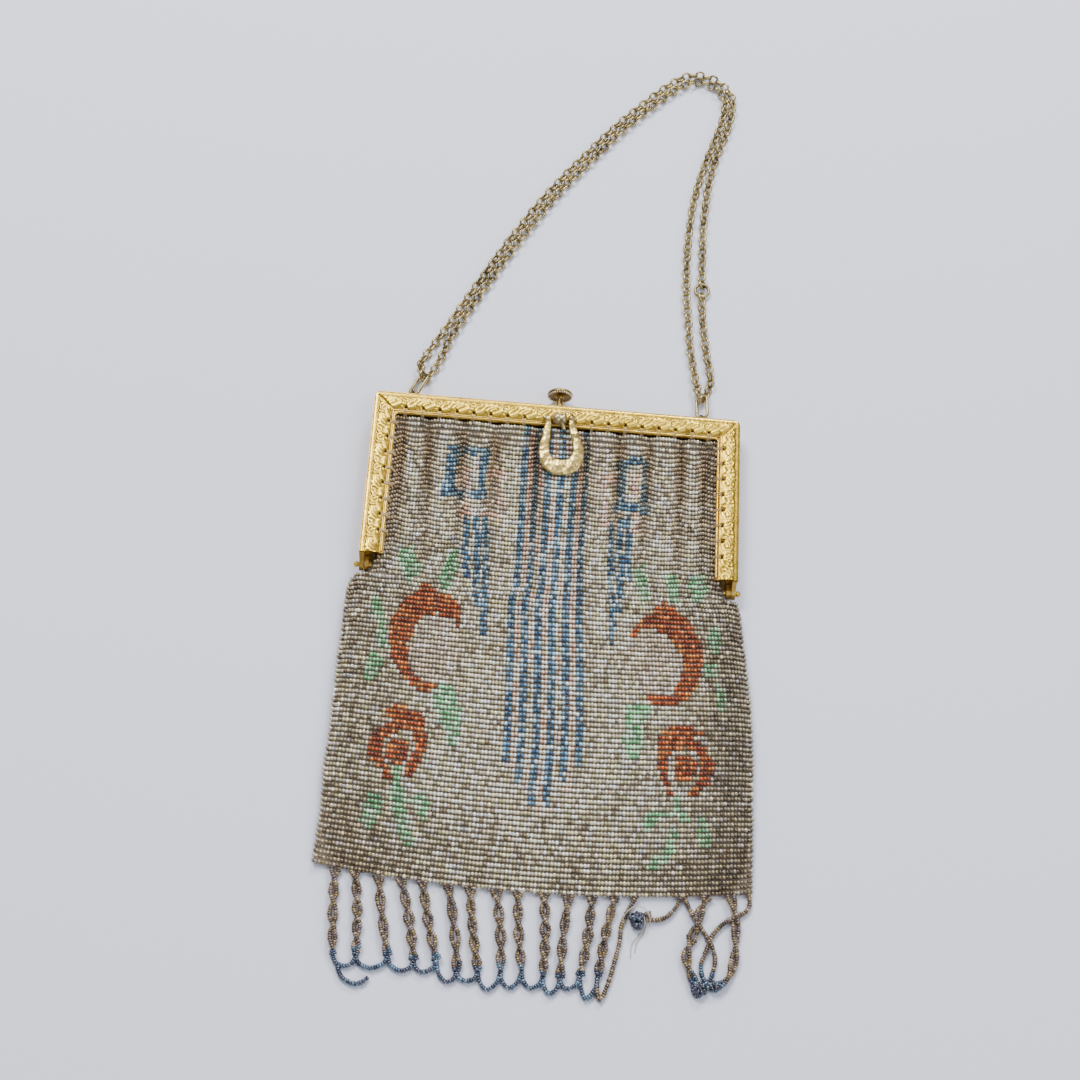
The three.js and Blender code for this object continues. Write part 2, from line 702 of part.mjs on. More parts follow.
// The lowest point of the swag that ends at each pair
const swagLows = [
  [-0.799, 0.823], [-0.684, 0.823], [-0.551, 0.831], [-0.455, 0.829], [-0.347, 0.903], [-0.255, 0.883],
  [-0.161, 0.951], [-0.065, 0.92], [0.027, 0.909], [0.117, 0.949], [0.195, 0.891], [0.279, 0.974],
];
// Single strands and tangles, each a list of x, down and up
const looseStrands = [
  [[-0.852, 0.703, 1.25], [-0.832, 0.811, 1.25], [-0.813, 0.903, 1.25], [-0.786, 0.954, 1.25],
    [-0.734, 0.98, 1.25], [-0.686, 0.909, 1.25]],
  [[0.328, 0.72, 1.5], [0.325, 0.877, 1.25], [0.341, 0.971, 1.25], [0.37, 0.846, 1.25],
    [0.401, 0.6, 1.25], [0.42, 0.394, 1.25], [0.425, 0.263, 1.25], [0.453, 0.109, 1.75],
    [0.485, -0.011, 2.75]],
  [[0.686, -0.029, 2.75], [0.672, 0.04, 2], [0.633, 0.143, 1.25], [0.581, 0.189, 1.25],
    [0.534, 0.189, 1.75], [0.496, 0.209, 2.5]],
  [[0.696, -0.023, 2.75], [0.733, 0.074, 1.75], [0.764, 0.177, 1.25], [0.804, 0.283, 1.25],
    [0.835, 0.411, 2.75], [0.852, 0.52, 1.25], [0.843, 0.646, 1.25], [0.824, 0.749, 1.25],
    [0.829, 0.806, 1.25]],
  [[0.805, -0.046, 2.75], [0.78, 0.08, 1.5], [0.762, 0.217, 3], [0.741, 0.363, 1.25],
    [0.721, 0.497, 1.25], [0.732, 0.623, 1.25], [0.753, 0.726, 1.25], [0.79, 0.817, 1.25]],
  [[0.919, -0.074, 2.75], [0.938, 0.097, 3.12], [0.943, 0.263, 1.25], [0.942, 0.406, 1.25],
    [0.935, 0.537, 1.25], [0.919, 0.663, 1.25], [0.883, 0.749, 1.25], [0.832, 0.8, 1.5]],
  [[1.003, -0.109, 2.5], [1.001, 0.011, 1.5], [0.962, 0.089, 1.25], [0.907, 0.146, 1.25],
    [0.862, 0.229, 1.25], [0.831, 0.331, 1.25], [0.805, 0.477, 1.25], [0.789, 0.577, 1.25],
    [0.794, 0.677, 1.25], [0.816, 0.76, 1.25]],
];
const knots = [
  { at: [0.496, 0.217, 2.62], radius: knotRadius, stretch: [1, 1.1, 1] },
  { at: [0.79, 0.817, 1.75], radius: wadRadius, stretch: [1.6, 1, 0.65] },
];
// Where the head band starts and ends
const bandEnds = [-0.908, 1.003];

function fringePoint([x, down, up]) {
  return new THREE.Vector3(bagBottomHalfWidth * x, bottomY - bagSag - fringeLength * down, strandRadius * up);
}

function bottomEdge(x) {
  // The y of the bag's bottom edge at a given x.
  const place = (x - bagRows[bagRows.length - 1].middle) / bagBottomHalfWidth;
  return bottomY - bagSag * (1 - place * place);
}

function bandPoint(share) {
  const x = bagBottomHalfWidth * share;
  return new THREE.Vector3(x, bottomEdge(x) - clearance - bandRadius, bandHeight);
}

function lock(pair) {
  // A twisted pair of strands as one flat bar that turns round its own path.
  const start = bandPoint(pair.top);
  const end = fringePoint([pair.x, pair.down, 0]).setZ(lockHalfWidth + lockLift);
  const along = new THREE.Vector3().subVectors(end, start).setZ(0).normalize();
  const across = new THREE.Vector3(-along.y, along.x, 0);
  const up = new THREE.Vector3(0, 0, 1);
  const sections = 6;
  const sides = 6;
  const rings = [];
  for (let step = 0; step < sections; step += 1) {
    const share = step / (sections - 1);
    const middle = start.clone().lerp(end, share);
    middle.z = THREE.MathUtils.lerp(start.z, end.z, Math.min(share * 4, 1));
    const angle = share * lockTurns * Math.PI;
    const wide = across.clone().multiplyScalar(Math.cos(angle)).addScaledVector(up, Math.sin(angle));
    const flat = across.clone().multiplyScalar(-Math.sin(angle)).addScaledVector(up, Math.cos(angle));
    rings.push(Array.from({ length: sides }, (_, side) => {
      const turnAngle = (2 * Math.PI * side) / sides;
      return middle.clone().addScaledVector(wide, lockHalfWidth * Math.cos(turnAngle))
        .addScaledVector(flat, strandRadius * Math.sin(turnAngle));
    }));
  }
  return skin(rings);
}

function fringe() {
  const bandSteps = 6;
  const edge = Array.from({ length: bandSteps + 1 }, (_, step) => (
    bandPoint(THREE.MathUtils.lerp(...bandEnds, step / bandSteps))));
  const head = tube(edge, bandRadius, 5, 8);
  const locks = pairs.map(lock);
  const height = strandRadius + lockLift;
  const wave = pairs.slice(1).flatMap((pair, index) => {
    const foot = fringePoint([pair.x, pair.down, 0]).setZ(height + swagLift);
    const low = swagLows[index + 1];
    return low ? [foot, fringePoint([...low, 0]).setZ(height)] : [foot];
  });
  const swags = tube(wave, strandRadius, 5, 2 * wave.length);
  const strands = looseStrands.map((route) => tube(route.map(fringePoint), strandRadius, 5, route.length));
  const blobs = knots.map(({ at, radius, stretch }) => ball(fringePoint(at), radius, 8, stretch));
  return unite([head, ...locks, swags, ...strands, ...blobs]);
}

// Materials

function metal(color, roughness) {
  return new THREE.MeshStandardMaterial({ color, roughness, metalness: 1 });
}

const gilt = () => metal(0xd9c06a, 0.38);
const chainBrass = () => metal(0xa8986c, 0.42);
const bossSteel = () => metal(0x9a9480, 0.45);
const beadwork = () => new THREE.MeshStandardMaterial({ color: 0xa99f90, roughness: 0.35, metalness: 0.3 });
const fringeBeads = () => new THREE.MeshStandardMaterial({ color: 0x6e6256, roughness: 0.3, metalness: 0.4 });

// The purse

function hingeRivet(side) {
  const at = (x) => new THREE.Vector3(side * x, hingeY, splitZ);
  const outer = legX - earInset + clearance;
  const inner = legX - earInset - 2 * earThickness - 2 * clearance;
  const pin = rod(at(inner), at(outer), hingePinRadius, 10);
  const head = ball(at(outer + hingeBallRadius * 0.7), hingeBallRadius, 8);
  const tail = rod(at(inner - hingeHeadLength), at(inner), hingeBallRadius, 8);
  return unite([pin, head, tail]);
}

const pieces = [
  ['frame_front', frameHalf(1), gilt()],
  ['frame_back', frameHalf(-1).add(lug(-1)).add(lug(1)), gilt()],
  ['hinge_rivet_left', hingeRivet(-1), gilt()],
  ['hinge_rivet_right', hingeRivet(1), gilt()],
  ['chain_ring_left', elongatedRing(-1), chainBrass()],
  ['chain_ring_right', elongatedRing(1), chainBrass()],
  ['chain', chain(), chainBrass()],
  ['chain_jump_ring', jumpRing(), chainBrass()],
  ['clasp_knob', clasp(), gilt()],
  ['pull_boss', boss(), bossSteel()],
  ['horseshoe_pull', pull(), gilt()],
  ['bag_body', bag(), beadwork()],
  ['fringe', fringe(), fringeBeads()],
];

const purse = new THREE.Group();
for (const [name, solid, material] of pieces) {
  const mesh = new THREE.Mesh(toGeometry(solid), material);
  mesh.name = name;
  purse.add(mesh);
}

// The origin is the middle of the purse's outline on the surface that it lies on.
const bounds = new THREE.Box3().setFromObject(purse);
const middle = bounds.getCenter(new THREE.Vector3());
purse.position.set(-middle.x, -middle.y, -bounds.min.z);

export default purse;
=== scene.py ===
"""Looks of a beaded flapper purse that lies on its back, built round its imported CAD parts.

Sizes are millimetres in the purse's own drawing: x along the frame's top bar from its middle, y = 0 at the
bar's outer edge and growing towards the chain, z = 0 at the surface that the purse lies on. placed() turns
them into the scene's metres.
"""
import math

import bmesh
import bpy
import numpy as np
from mathutils import Matrix, Vector


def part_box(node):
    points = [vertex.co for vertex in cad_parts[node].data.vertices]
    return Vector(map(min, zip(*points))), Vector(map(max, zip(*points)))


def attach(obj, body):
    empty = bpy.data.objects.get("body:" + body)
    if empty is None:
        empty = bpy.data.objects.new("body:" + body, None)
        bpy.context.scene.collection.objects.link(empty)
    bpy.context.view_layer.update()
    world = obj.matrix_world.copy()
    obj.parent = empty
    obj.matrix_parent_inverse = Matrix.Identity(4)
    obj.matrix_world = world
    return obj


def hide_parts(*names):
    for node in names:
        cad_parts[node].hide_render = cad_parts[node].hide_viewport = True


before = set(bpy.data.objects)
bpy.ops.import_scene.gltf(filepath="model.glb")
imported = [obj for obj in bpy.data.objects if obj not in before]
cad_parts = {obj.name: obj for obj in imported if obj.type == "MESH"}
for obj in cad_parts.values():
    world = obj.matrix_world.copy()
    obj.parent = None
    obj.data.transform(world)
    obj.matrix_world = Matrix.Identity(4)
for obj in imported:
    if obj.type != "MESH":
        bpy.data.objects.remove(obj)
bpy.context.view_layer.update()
chance = np.random.default_rng(7)

# Frame
FRAME_HALF_WIDTH = 67.5
LEG_LENGTH = 64.2
FRAME_DEPTH = 10.0
CORNER_RADIUS = 2.6
RAIL_INSET = 7.7
RAIL_TOP = 9.4
HOLE_INSET = 6.1
HOLE_PITCH = 6.2
CLASP_CLEAR = 8.0

# Clasp
CLASP_X = 0.6
PULL_Y = -6.3
PIN_HEIGHT = 11.8
PIN_REACH = 5.6
PULL_REST = 9.1

# Bag
MOUTH_Y = -8.7
BAG_LENGTH = 165.3
BAG_SAG = 4.8
ROWS = 96
ROW_PITCH_TOP = 1.70
ROW_PITCH_BOTTOM = 1.76
BEADS_ACROSS = 120
BEAD_RADIUS = 0.83

front_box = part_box("frame_front")
SHIFT = np.array([front_box[0].x * 1000 + FRAME_HALF_WIDTH, front_box[1].y * 1000, 0.0])


# Helpers


def placed(points):
    """Drawing millimetres as scene metres."""
    return (np.asarray(points, float) + SHIFT) / 1000


def linear(red, green, blue):
    """Screen red, green and blue from 0 to 255 as linear values from 0 to 1."""
    screen = np.array([red, green, blue], float) / 255
    return np.where(screen <= 0.04045, screen / 12.92, ((screen + 0.055) / 1.055) ** 2.4)


def unit(vectors):
    """Vectors of length one."""
    vectors = np.asarray(vectors, float)
    return vectors / np.maximum(np.linalg.norm(vectors, axis=-1, keepdims=True), 1e-12)


def grid_faces(rows, columns, close_rows=False, close_columns=False):
    """Four-cornered faces between neighbours on a grid of points, row after row."""
    last_row = rows if close_rows else rows - 1
    last_column = columns if close_columns else columns - 1
    row, column = np.meshgrid(np.arange(last_row), np.arange(last_column), indexing="ij")
    below, beside = (row + 1) % rows, (column + 1) % columns
    faces = np.stack([
        row * columns + column,
        row * columns + beside,
        below * columns + beside,
        below * columns + column,
    ], -1)
    return faces.reshape(-1, 4)


def piece(name, points, faces, material, body, tints=None):
    """A smooth mesh of four-cornered faces on drawing points, with an optional colour at each point."""
    mesh = bpy.data.meshes.new(name)
    points, faces = placed(points).reshape(-1, 3), np.asarray(faces, np.int32)
    mesh.vertices.add(len(points))
    mesh.vertices.foreach_set("co", points.astype(np.float32).ravel())
    mesh.loops.add(faces.size)
    mesh.loops.foreach_set("vertex_index", faces.ravel())
    mesh.polygons.add(len(faces))
    mesh.polygons.foreach_set("loop_start", np.arange(0, faces.size, 4, dtype=np.int32))
    mesh.update(calc_edges=True)
    mesh.validate()
    mesh.polygons.foreach_set("use_smooth", np.ones(len(mesh.polygons), bool))
    if tints is not None:
        colour = mesh.color_attributes.new("tint", "FLOAT_COLOR", "POINT")
        rgba = np.concatenate([tints, np.ones((len(tints), 1))], 1)
        colour.data.foreach_set("color", rgba.astype(np.float32).ravel())
    mesh.materials.append(material)
    made = bpy.data.objects.new(name, mesh)
    bpy.context.scene.collection.objects.link(made)
    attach(made, body)
    return made


def closed_up(made):
    """Merges a piece's points where they lie on one another, as at poles and tips, and turns its faces
    outward."""
    work = bmesh.new()
    work.from_mesh(made.data)
    bmesh.ops.remove_doubles(work, verts=work.verts, dist=1e-7)
    bmesh.ops.recalc_face_normals(work, faces=work.faces)
    work.to_mesh(made.data)
    work.free()
    return made


def joined(parts):
    """Several (points, faces) pairs as one pair."""
    points, faces, start = [], [], 0
    for part_points, part_faces in parts:
        part_points = np.asarray(part_points, float).reshape(-1, 3)
        points.append(part_points)
        faces.append(np.asarray(part_faces) + start)
        start += len(part_points)
    return np.concatenate(points), np.concatenate(faces)


def copies(points, faces, centres, axes):
    """One small shape at many places. axes holds three directions for each place, as rows."""
    points, faces = np.asarray(points, float), np.asarray(faces)
    moved = np.einsum("pk,ckd->cpd", points, axes) + centres[:, None, :]
    start = np.arange(len(centres))[:, None, None] * len(points)
    return moved.reshape(-1, 3), (faces[None] + start).reshape(-1, 4)


def smooth_path(points, count):
    """Evenly spaced points on a smooth curve through the given ones: a cubic between each two of them whose
    slopes are half the step between the neighbours, then spaced out again by its own length."""
    points = np.asarray(points, float)
    padded = np.vstack([2 * points[0] - points[1], points, 2 * points[-1] - points[-2]])
    t = np.linspace(0, 1, 24, endpoint=False)[None, :, None]
    a, b, c, d = (padded[k:len(padded) - 3 + k, None] for k in range(4))
    curve = 0.5 * (2 * b + (c - a) * t + (2 * a - 5 * b + 4 * c - d) * t ** 2
                   + (3 * b - a - 3 * c + d) * t ** 3)
    curve = np.vstack([curve.reshape(-1, points.shape[1]), points[-1:]])
    run = run_along(curve)
    return resampled(curve, run, np.linspace(0, run[-1], count))


def run_along(line):
    """The length along a line up to each of its points."""
    return np.concatenate([[0], np.cumsum(np.linalg.norm(np.diff(line, axis=0), axis=1))])


def resampled(curve, run, places):
    """Points of a curve at given lengths along it."""
    return np.stack([np.interp(places, run, curve[:, k]) for k in range(curve.shape[1])], 1)


def across_path(path):
    """For each point of a path: a level direction across it and the one square to both."""
    direction = unit(np.gradient(path, axis=0))
    across = unit(np.cross(direction, [0, 0, 1.0]) + [1e-9, 0, 0])
    return across, np.cross(across, direction)


def tube(path, radius, sides):
    """A round skin carried along a path: centre plus radius times cosine across and sine square to it. Its
    ends are drawn in to a point."""
    path = np.asarray(path, float)
    across, square = across_path(path)
    angle = np.linspace(0, 2 * math.pi, sides, endpoint=False)
    ring = (across[:, None] * np.cos(angle)[None, :, None]
            + square[:, None] * np.sin(angle)[None, :, None])
    first, last = (np.repeat(path[k:k + 1], sides, 0)[None] for k in (0, len(path) - 1))
    points = np.concatenate([first, path[:, None] + ring * radius, last])
    return points.reshape(-1, 3), grid_faces(len(points), sides, False, True)[:, ::-1]


def turned(profile, sides, centre, axis):
    """A profile of (radius, height) pairs turned round an axis through a centre."""
    profile = np.asarray(profile, float)
    axis = unit(axis)
    helper = np.array([1.0, 0, 0]) if abs(axis[0]) < 0.9 else np.array([0, 1.0, 0])
    first = unit(np.cross(axis, helper))
    second = np.cross(axis, first)
    angle = np.linspace(0, 2 * math.pi, sides, endpoint=False)
    ring = first * np.cos(angle)[:, None] + second * np.sin(angle)[:, None]
    points = (np.asarray(centre, float) + profile[:, None, :1] * ring[None]
              + profile[:, None, 1:] * axis)
    return points.reshape(-1, 3), grid_faces(len(profile), sides, False, True)


def ball_profile(radius, rings):
    """A ball's profile: radius times the sine of the tilt outwards and the cosine of the tilt up."""
    tilt = np.linspace(math.pi, 0, rings + 1)
    return np.stack([radius * np.sin(tilt), radius * np.cos(tilt)], 1)


def ball(centre, radius, rings, sides):
    """A round ball at a point."""
    return turned(ball_profile(radius, rings), sides, centre, (0, 0, 1))


def inside(x, y, corners):
    """True where (x, y) lies in a closed outline: a line to the right crosses it an odd number of times."""
    corners = np.asarray(corners, float)
    found = np.zeros(np.shape(x), bool)
    for (x0, y0), (x1, y1) in zip(corners, np.roll(corners, -1, 0)):
        if y0 == y1:
            continue
        crosses = (y0 > y) != (y1 > y)
        found ^= crosses & (x < (x1 - x0) * (y - y0) / (y1 - y0) + x0)
    return found


def near(x, y, route, reach):
    """True where (x, y) lies within reach of a line of points."""
    found = np.zeros(np.shape(x), bool)
    for (x0, y0), (x1, y1) in zip(route, route[1:]):
        step = (x1 - x0) ** 2 + (y1 - y0) ** 2
        share = np.clip(((x - x0) * (x1 - x0) + (y - y0) * (y1 - y0)) / step, 0, 1)
        found |= np.hypot(x - x0 - share * (x1 - x0), y - y0 - share * (y1 - y0)) < reach
    return found


# Materials


def add(tree, kind, settings=(), links=()):
    """One shader node. settings are its own values, links are sockets or constants for its inputs."""
    made = tree.nodes.new(kind)
    for key, value in dict(settings).items():
        setattr(made, key, value)
    for key, source in dict(links).items():
        if isinstance(source, bpy.types.NodeSocket):
            tree.links.new(source, made.inputs[key])
        else:
            made.inputs[key].default_value = source
    return made


def group(name, inputs, outputs):
    """An empty node group, with its input and output nodes."""
    tree = bpy.data.node_groups.new(name, "ShaderNodeTree")
    for label, kind in inputs:
        tree.interface.new_socket(label, in_out="INPUT", socket_type=kind)
    for label, kind in outputs:
        tree.interface.new_socket(label, in_out="OUTPUT", socket_type=kind)
    return tree, tree.nodes.new("NodeGroupInput"), tree.nodes.new("NodeGroupOutput")


def worn_metal_group():
    """Clean and tarnished metal in soft patches, with small pits, the metal's own roughness and its dents."""
    colour, value = "NodeSocketColor", "NodeSocketFloat"
    tree, start, end = group(
        "worn_metal", [("Clean", colour), ("Tarnished", colour), ("Wear", value)],
        [("Colour", colour), ("Roughness", value), ("Height", value)],
    )
    place = add(tree, "ShaderNodeTexCoord").outputs["Object"]
    patches = add(tree, "ShaderNodeTexNoise", {}, {"Vector": place, "Scale": 260.0, "Detail": 4.0})
    pits = add(tree, "ShaderNodeTexNoise", {}, {"Vector": place, "Scale": 1900.0, "Detail": 3.0})
    spread = add(tree, "ShaderNodeMapRange", {}, {
        "Value": patches.outputs["Fac"], "From Min": 0.42, "From Max": 0.68, "To Min": 0.0, "To Max": 1.0,
    })
    amount = add(tree, "ShaderNodeMath", {"operation": "MULTIPLY"}, {
        0: spread.outputs["Result"], 1: start.outputs["Wear"],
    })
    mix = add(tree, "ShaderNodeMix", {"data_type": "RGBA"}, {
        0: amount.outputs[0], 6: start.outputs["Clean"], 7: start.outputs["Tarnished"],
    })
    rough = add(tree, "ShaderNodeMapRange", {}, {
        "Value": pits.outputs["Fac"], "From Min": 0.3, "From Max": 0.7, "To Min": 0.22, "To Max": 0.42,
    })
    tree.links.new(mix.outputs[2], end.inputs["Colour"])
    tree.links.new(rough.outputs["Result"], end.inputs["Roughness"])
    tree.links.new(pits.outputs["Fac"], end.inputs["Height"])
    return tree


WORN_METAL = worn_metal_group()


def surface(name, **values):
    """A new material with its Principled shader and its constant values."""
    made = bpy.data.materials.new(name)
    made.use_nodes = True
    shader = made.node_tree.nodes["Principled BSDF"]
    for socket, value in values.items():
        shader.inputs[socket.replace("_", " ")].default_value = value
    return made, made.node_tree, shader


def bumped(tree, shader, height, strength, distance):
    """Joins a height to the shader's normal."""
    bump = add(tree, "ShaderNodeBump", {}, {"Height": height, "Strength": strength, "Distance": distance})
    tree.links.new(bump.outputs["Normal"], shader.inputs["Normal"])


def rgba(red, green, blue):
    """A screen colour as a four-part linear one."""
    return (*linear(red, green, blue), 1.0)


def metal(name, clean, tarnished, wear=0.6, tinted=False, dents=0.0):
    """Plated metal with patches of tarnish. tinted multiplies it by the mesh's own colour, which holds painted
    shade, dark in the hollows of a relief. dents adds hammer marks, that many to a metre."""
    made, tree, shader = surface(name, Metallic=1.0)
    worn = add(tree, "ShaderNodeGroup", {"node_tree": WORN_METAL}, {
        "Clean": rgba(*clean), "Tarnished": rgba(*tarnished), "Wear": wear,
    })
    colour = worn.outputs["Colour"]
    if tinted:
        tint = add(tree, "ShaderNodeVertexColor", {"layer_name": "tint"})
        mix = add(tree, "ShaderNodeMix", {"data_type": "RGBA", "blend_type": "MULTIPLY"}, {
            0: 1.0, 6: colour, 7: tint.outputs["Color"],
        })
        colour = mix.outputs[2]
    tree.links.new(colour, shader.inputs["Base Color"])
    tree.links.new(worn.outputs["Roughness"], shader.inputs["Roughness"])
    if dents:
        place = add(tree, "ShaderNodeTexCoord").outputs["Object"]
        cells = add(tree, "ShaderNodeTexVoronoi", {"feature": "F1"}, {"Vector": place, "Scale": dents})
        bumped(tree, shader, cells.outputs["Distance"], 0.7, 0.0009)
    else:
        bumped(tree, shader, worn.outputs["Height"], 0.25, 0.00012)
    return made


def glass_beads(name, metallic, roughness):
    """Glossy beads whose colour comes from the mesh, with a faint cloudiness in the glass."""
    made, tree, shader = surface(name, Metallic=metallic, Coat_Weight=0.9, Coat_Roughness=0.09)
    tint = add(tree, "ShaderNodeVertexColor", {"layer_name": "tint"})
    place = add(tree, "ShaderNodeTexCoord").outputs["Object"]
    cloud = add(tree, "ShaderNodeTexNoise", {}, {"Vector": place, "Scale": 900.0, "Detail": 2.0})
    shade = add(tree, "ShaderNodeMapRange", {}, {
        "Value": cloud.outputs["Fac"], "From Min": 0.3, "From Max": 0.7, "To Min": 0.88, "To Max": 1.12,
    })
    mix = add(tree, "ShaderNodeVectorMath", {"operation": "SCALE"}, {
        0: tint.outputs["Color"], "Scale": shade.outputs["Result"],
    })
    tree.links.new(mix.outputs["Vector"], shader.inputs["Base Color"])
    shader.inputs["Roughness"].default_value = roughness
    return made


def woven(name, light, dark, pitch):
    """Plain woven or twisted fibre: two crossed waves of one pitch in metres."""
    made, tree, shader = surface(name, Roughness=0.85)
    place = add(tree, "ShaderNodeTexCoord").outputs["Object"]
    waves = [
        add(tree, "ShaderNodeTexWave", {"bands_direction": way}, {
            "Vector": place, "Scale": 0.314 / pitch, "Distortion": 1.5, "Detail": 1.0,
        }).outputs["Fac"] for way in ("X", "Y")
    ]
    height = add(tree, "ShaderNodeMath", {"operation": "MULTIPLY"}, {0: waves[0], 1: waves[1]})
    mix = add(tree, "ShaderNodeMix", {"data_type": "RGBA"}, {
        0: height.outputs[0], 6: rgba(*dark), 7: rgba(*light),
    })
    tree.links.new(mix.outputs[2], shader.inputs["Base Color"])
    bumped(tree, shader, height.outputs[0], 0.4, 0.0001)
    return made


GILT = metal("gilt", (224, 188, 84), (136, 100, 40))
# The side walls: the same gilt with its clean colour painted darker as the walls' shade, and patches of
# tarnish
SHADED_WALL_GILT = metal("gilt_wall_shaded", (198, 162, 84), (138, 104, 52), 0.55)
DULL_GILT = metal("gilt_dull", (168, 142, 84), (96, 76, 44), 0.8, tinted=True)
RELIEF = metal("gilt_relief", (238, 204, 84), (188, 150, 54), 0.45, tinted=True)
PULL_GILT = metal("gilt_hammered", (228, 202, 124), (136, 106, 56), 0.6, dents=360.0)
BRASS = metal("chain_brass", (188, 170, 122), (100, 84, 54), 0.85)
STEEL = metal("boss_steel", (190, 174, 126), (122, 106, 66), 0.6)
BEADS = glass_beads("seed_beads", 0.5, 0.24)
FRINGE_BEADS = glass_beads("fringe_beads", 0.45, 0.24)
CLOTH = woven("lining_cloth", (142, 130, 114), (86, 76, 66), 0.0006)
THREAD = woven("sewing_thread", (232, 208, 160), (180, 150, 104), 0.0004)
BARE_THREAD = woven("bare_thread", (232, 222, 200), (190, 176, 150), 0.0004)


# Bag of beadwork

# Distance down from the bar's outer edge, then the outline's left and right x there
OUTLINE = np.array([
    (8.7, -58.9, 58.9), (60, -58.9, 58.9), (64.8, -61.2, 61.2), (69.2, -62.3, 62.3), (70.6, -67.9, 67.6),
    (72, -69.3, 68.6), (76, -70.4, 69.4), (82, -70.7, 70.0), (90, -70.8, 71.0), (100, -71.3, 72.4),
    (110, -71.4, 73.4), (120, -71.5, 74.2), (131, -71.6, 74.6), (142, -72.3, 74.5), (153, -71.8, 74.8),
    (164, -72.3, 74.9), (178, -72.8, 74.9),
])
# Distance down and the front's height above the surface
FRONT_HEIGHT = np.array([
    (8.7, 9.4), (12, 9.1), (20, 8.8), (66, 8.5), (76, 8.4), (99, 8.0), (124, 7.2), (149, 5.7), (165, 4.0),
    (174, 2.6), (178, 2.0),
])
# Distance down and how deep the gathers still are, as a share
GATHER_DEPTH = np.array([
    (8.7, 0.45), (13, 0.9), (20, 0.92), (34, 0.75), (46, 0.58), (58, 0.42), (70, 0.3), (80, 0.17), (96, 0.05),
    (110, 0.0),
])
# Valleys between the gathers: place from -1 to 1, depth in millimetres, drift of the place on the way down
VALLEYS = np.array([
    (-1.08, 1.6, 0.0), (-0.95, 1.6, 0.0), (-0.8, 3.2, 0.05), (-0.58, 1.7, 0.02), (-0.385, 2.6, 0.0),
    (-0.12, 2.2, 0.0), (0.19, 2.4, 0.0), (0.4, 2.9, -0.03), (0.58, 2.4, -0.02), (0.79, 2.8, -0.02),
    (0.93, 2.2, 0.0), (1.08, 1.6, 0.0),
])
# How far the rows dip on the gathers' tops, and the way down over which that dip and the valleys' drift grow
GATHER_DIP = 2.1
DIP_GROWTH = 7
DRIFT_GROWTH = 60
# The side edges' height as a share of the front's height and a fixed rest, and the back's height
EDGE_SHARE = 0.4
EDGE_REST = 0.45
BACK_HEIGHT = 0.22
# Where the side edges begin to round over, below the hinges, and the way down that it takes
ROUND_FROM = 64
ROUND_WAY = 12


def gather_share(down):
    """How deep the gathers still are at a distance down, as a share."""
    return np.interp(down, GATHER_DEPTH[:, 0], GATHER_DEPTH[:, 1])


def gathers(place, down):
    """How deep the cloth lies below the gathers' tops, and how far it is up the side of a gather from 0 to 1.
    Between two valleys the cloth is a round dome, 1 minus the distance from its middle to the power 2.4."""
    settled = np.clip((down + MOUTH_Y) / DRIFT_GROWTH, 0, 1)
    share = gather_share(down)
    depth, dome = np.zeros(np.shape(place)), np.zeros(np.shape(place))
    for (p0, d0, m0), (p1, d1, m1) in zip(VALLEYS, VALLEYS[1:]):
        low, high = p0 + m0 * settled, p1 + m1 * settled
        t = (place - low) / (high - low)
        here = (t >= 0) & (t < 1)
        bulge = 1 - np.abs(2 * t - 1) ** 2.4
        depth = np.where(here, (d0 + (d1 - d0) * t) * (1 - bulge), depth)
        dome = np.where(here, bulge, dome)
    return depth * share, dome * share


def bag_surface(place, down, front=True):
    """The bag's outer face. place runs from -1 to 1 across it and down is the distance from the frame's
    outer edge. The rows sag in the middle by a parabola, and below the hinges the side edges round over by
    the root of 1 minus place to the power 12."""
    left = np.interp(down, OUTLINE[:, 0], OUTLINE[:, 1])
    right = np.interp(down, OUTLINE[:, 0], OUTLINE[:, 2])
    middle, half = (left + right) / 2, (right - left) / 2
    deep, dome = gathers(place, down)
    share = (down + MOUTH_Y) / BAG_LENGTH
    x = middle + half * place
    y = -down - BAG_SAG * share * (1 - place ** 2)
    top = np.interp(down, FRONT_HEIGHT[:, 0], FRONT_HEIGHT[:, 1])
    edge = EDGE_SHARE * top + EDGE_REST
    over = np.clip((down - ROUND_FROM) / ROUND_WAY, 0, 1)
    round_over = 1 - over * (1 - np.sqrt(np.clip(1 - np.abs(place) ** 12, 0, 1)))
    if front:
        y = y - GATHER_DIP * dome * np.clip((down + MOUTH_Y) / DIP_GROWTH, 0, 1)
        z = edge + (top - deep - edge) * round_over
    else:
        z = edge - (edge - BACK_HEIGHT) * round_over
    return np.stack(np.broadcast_arrays(x, y, z), -1)
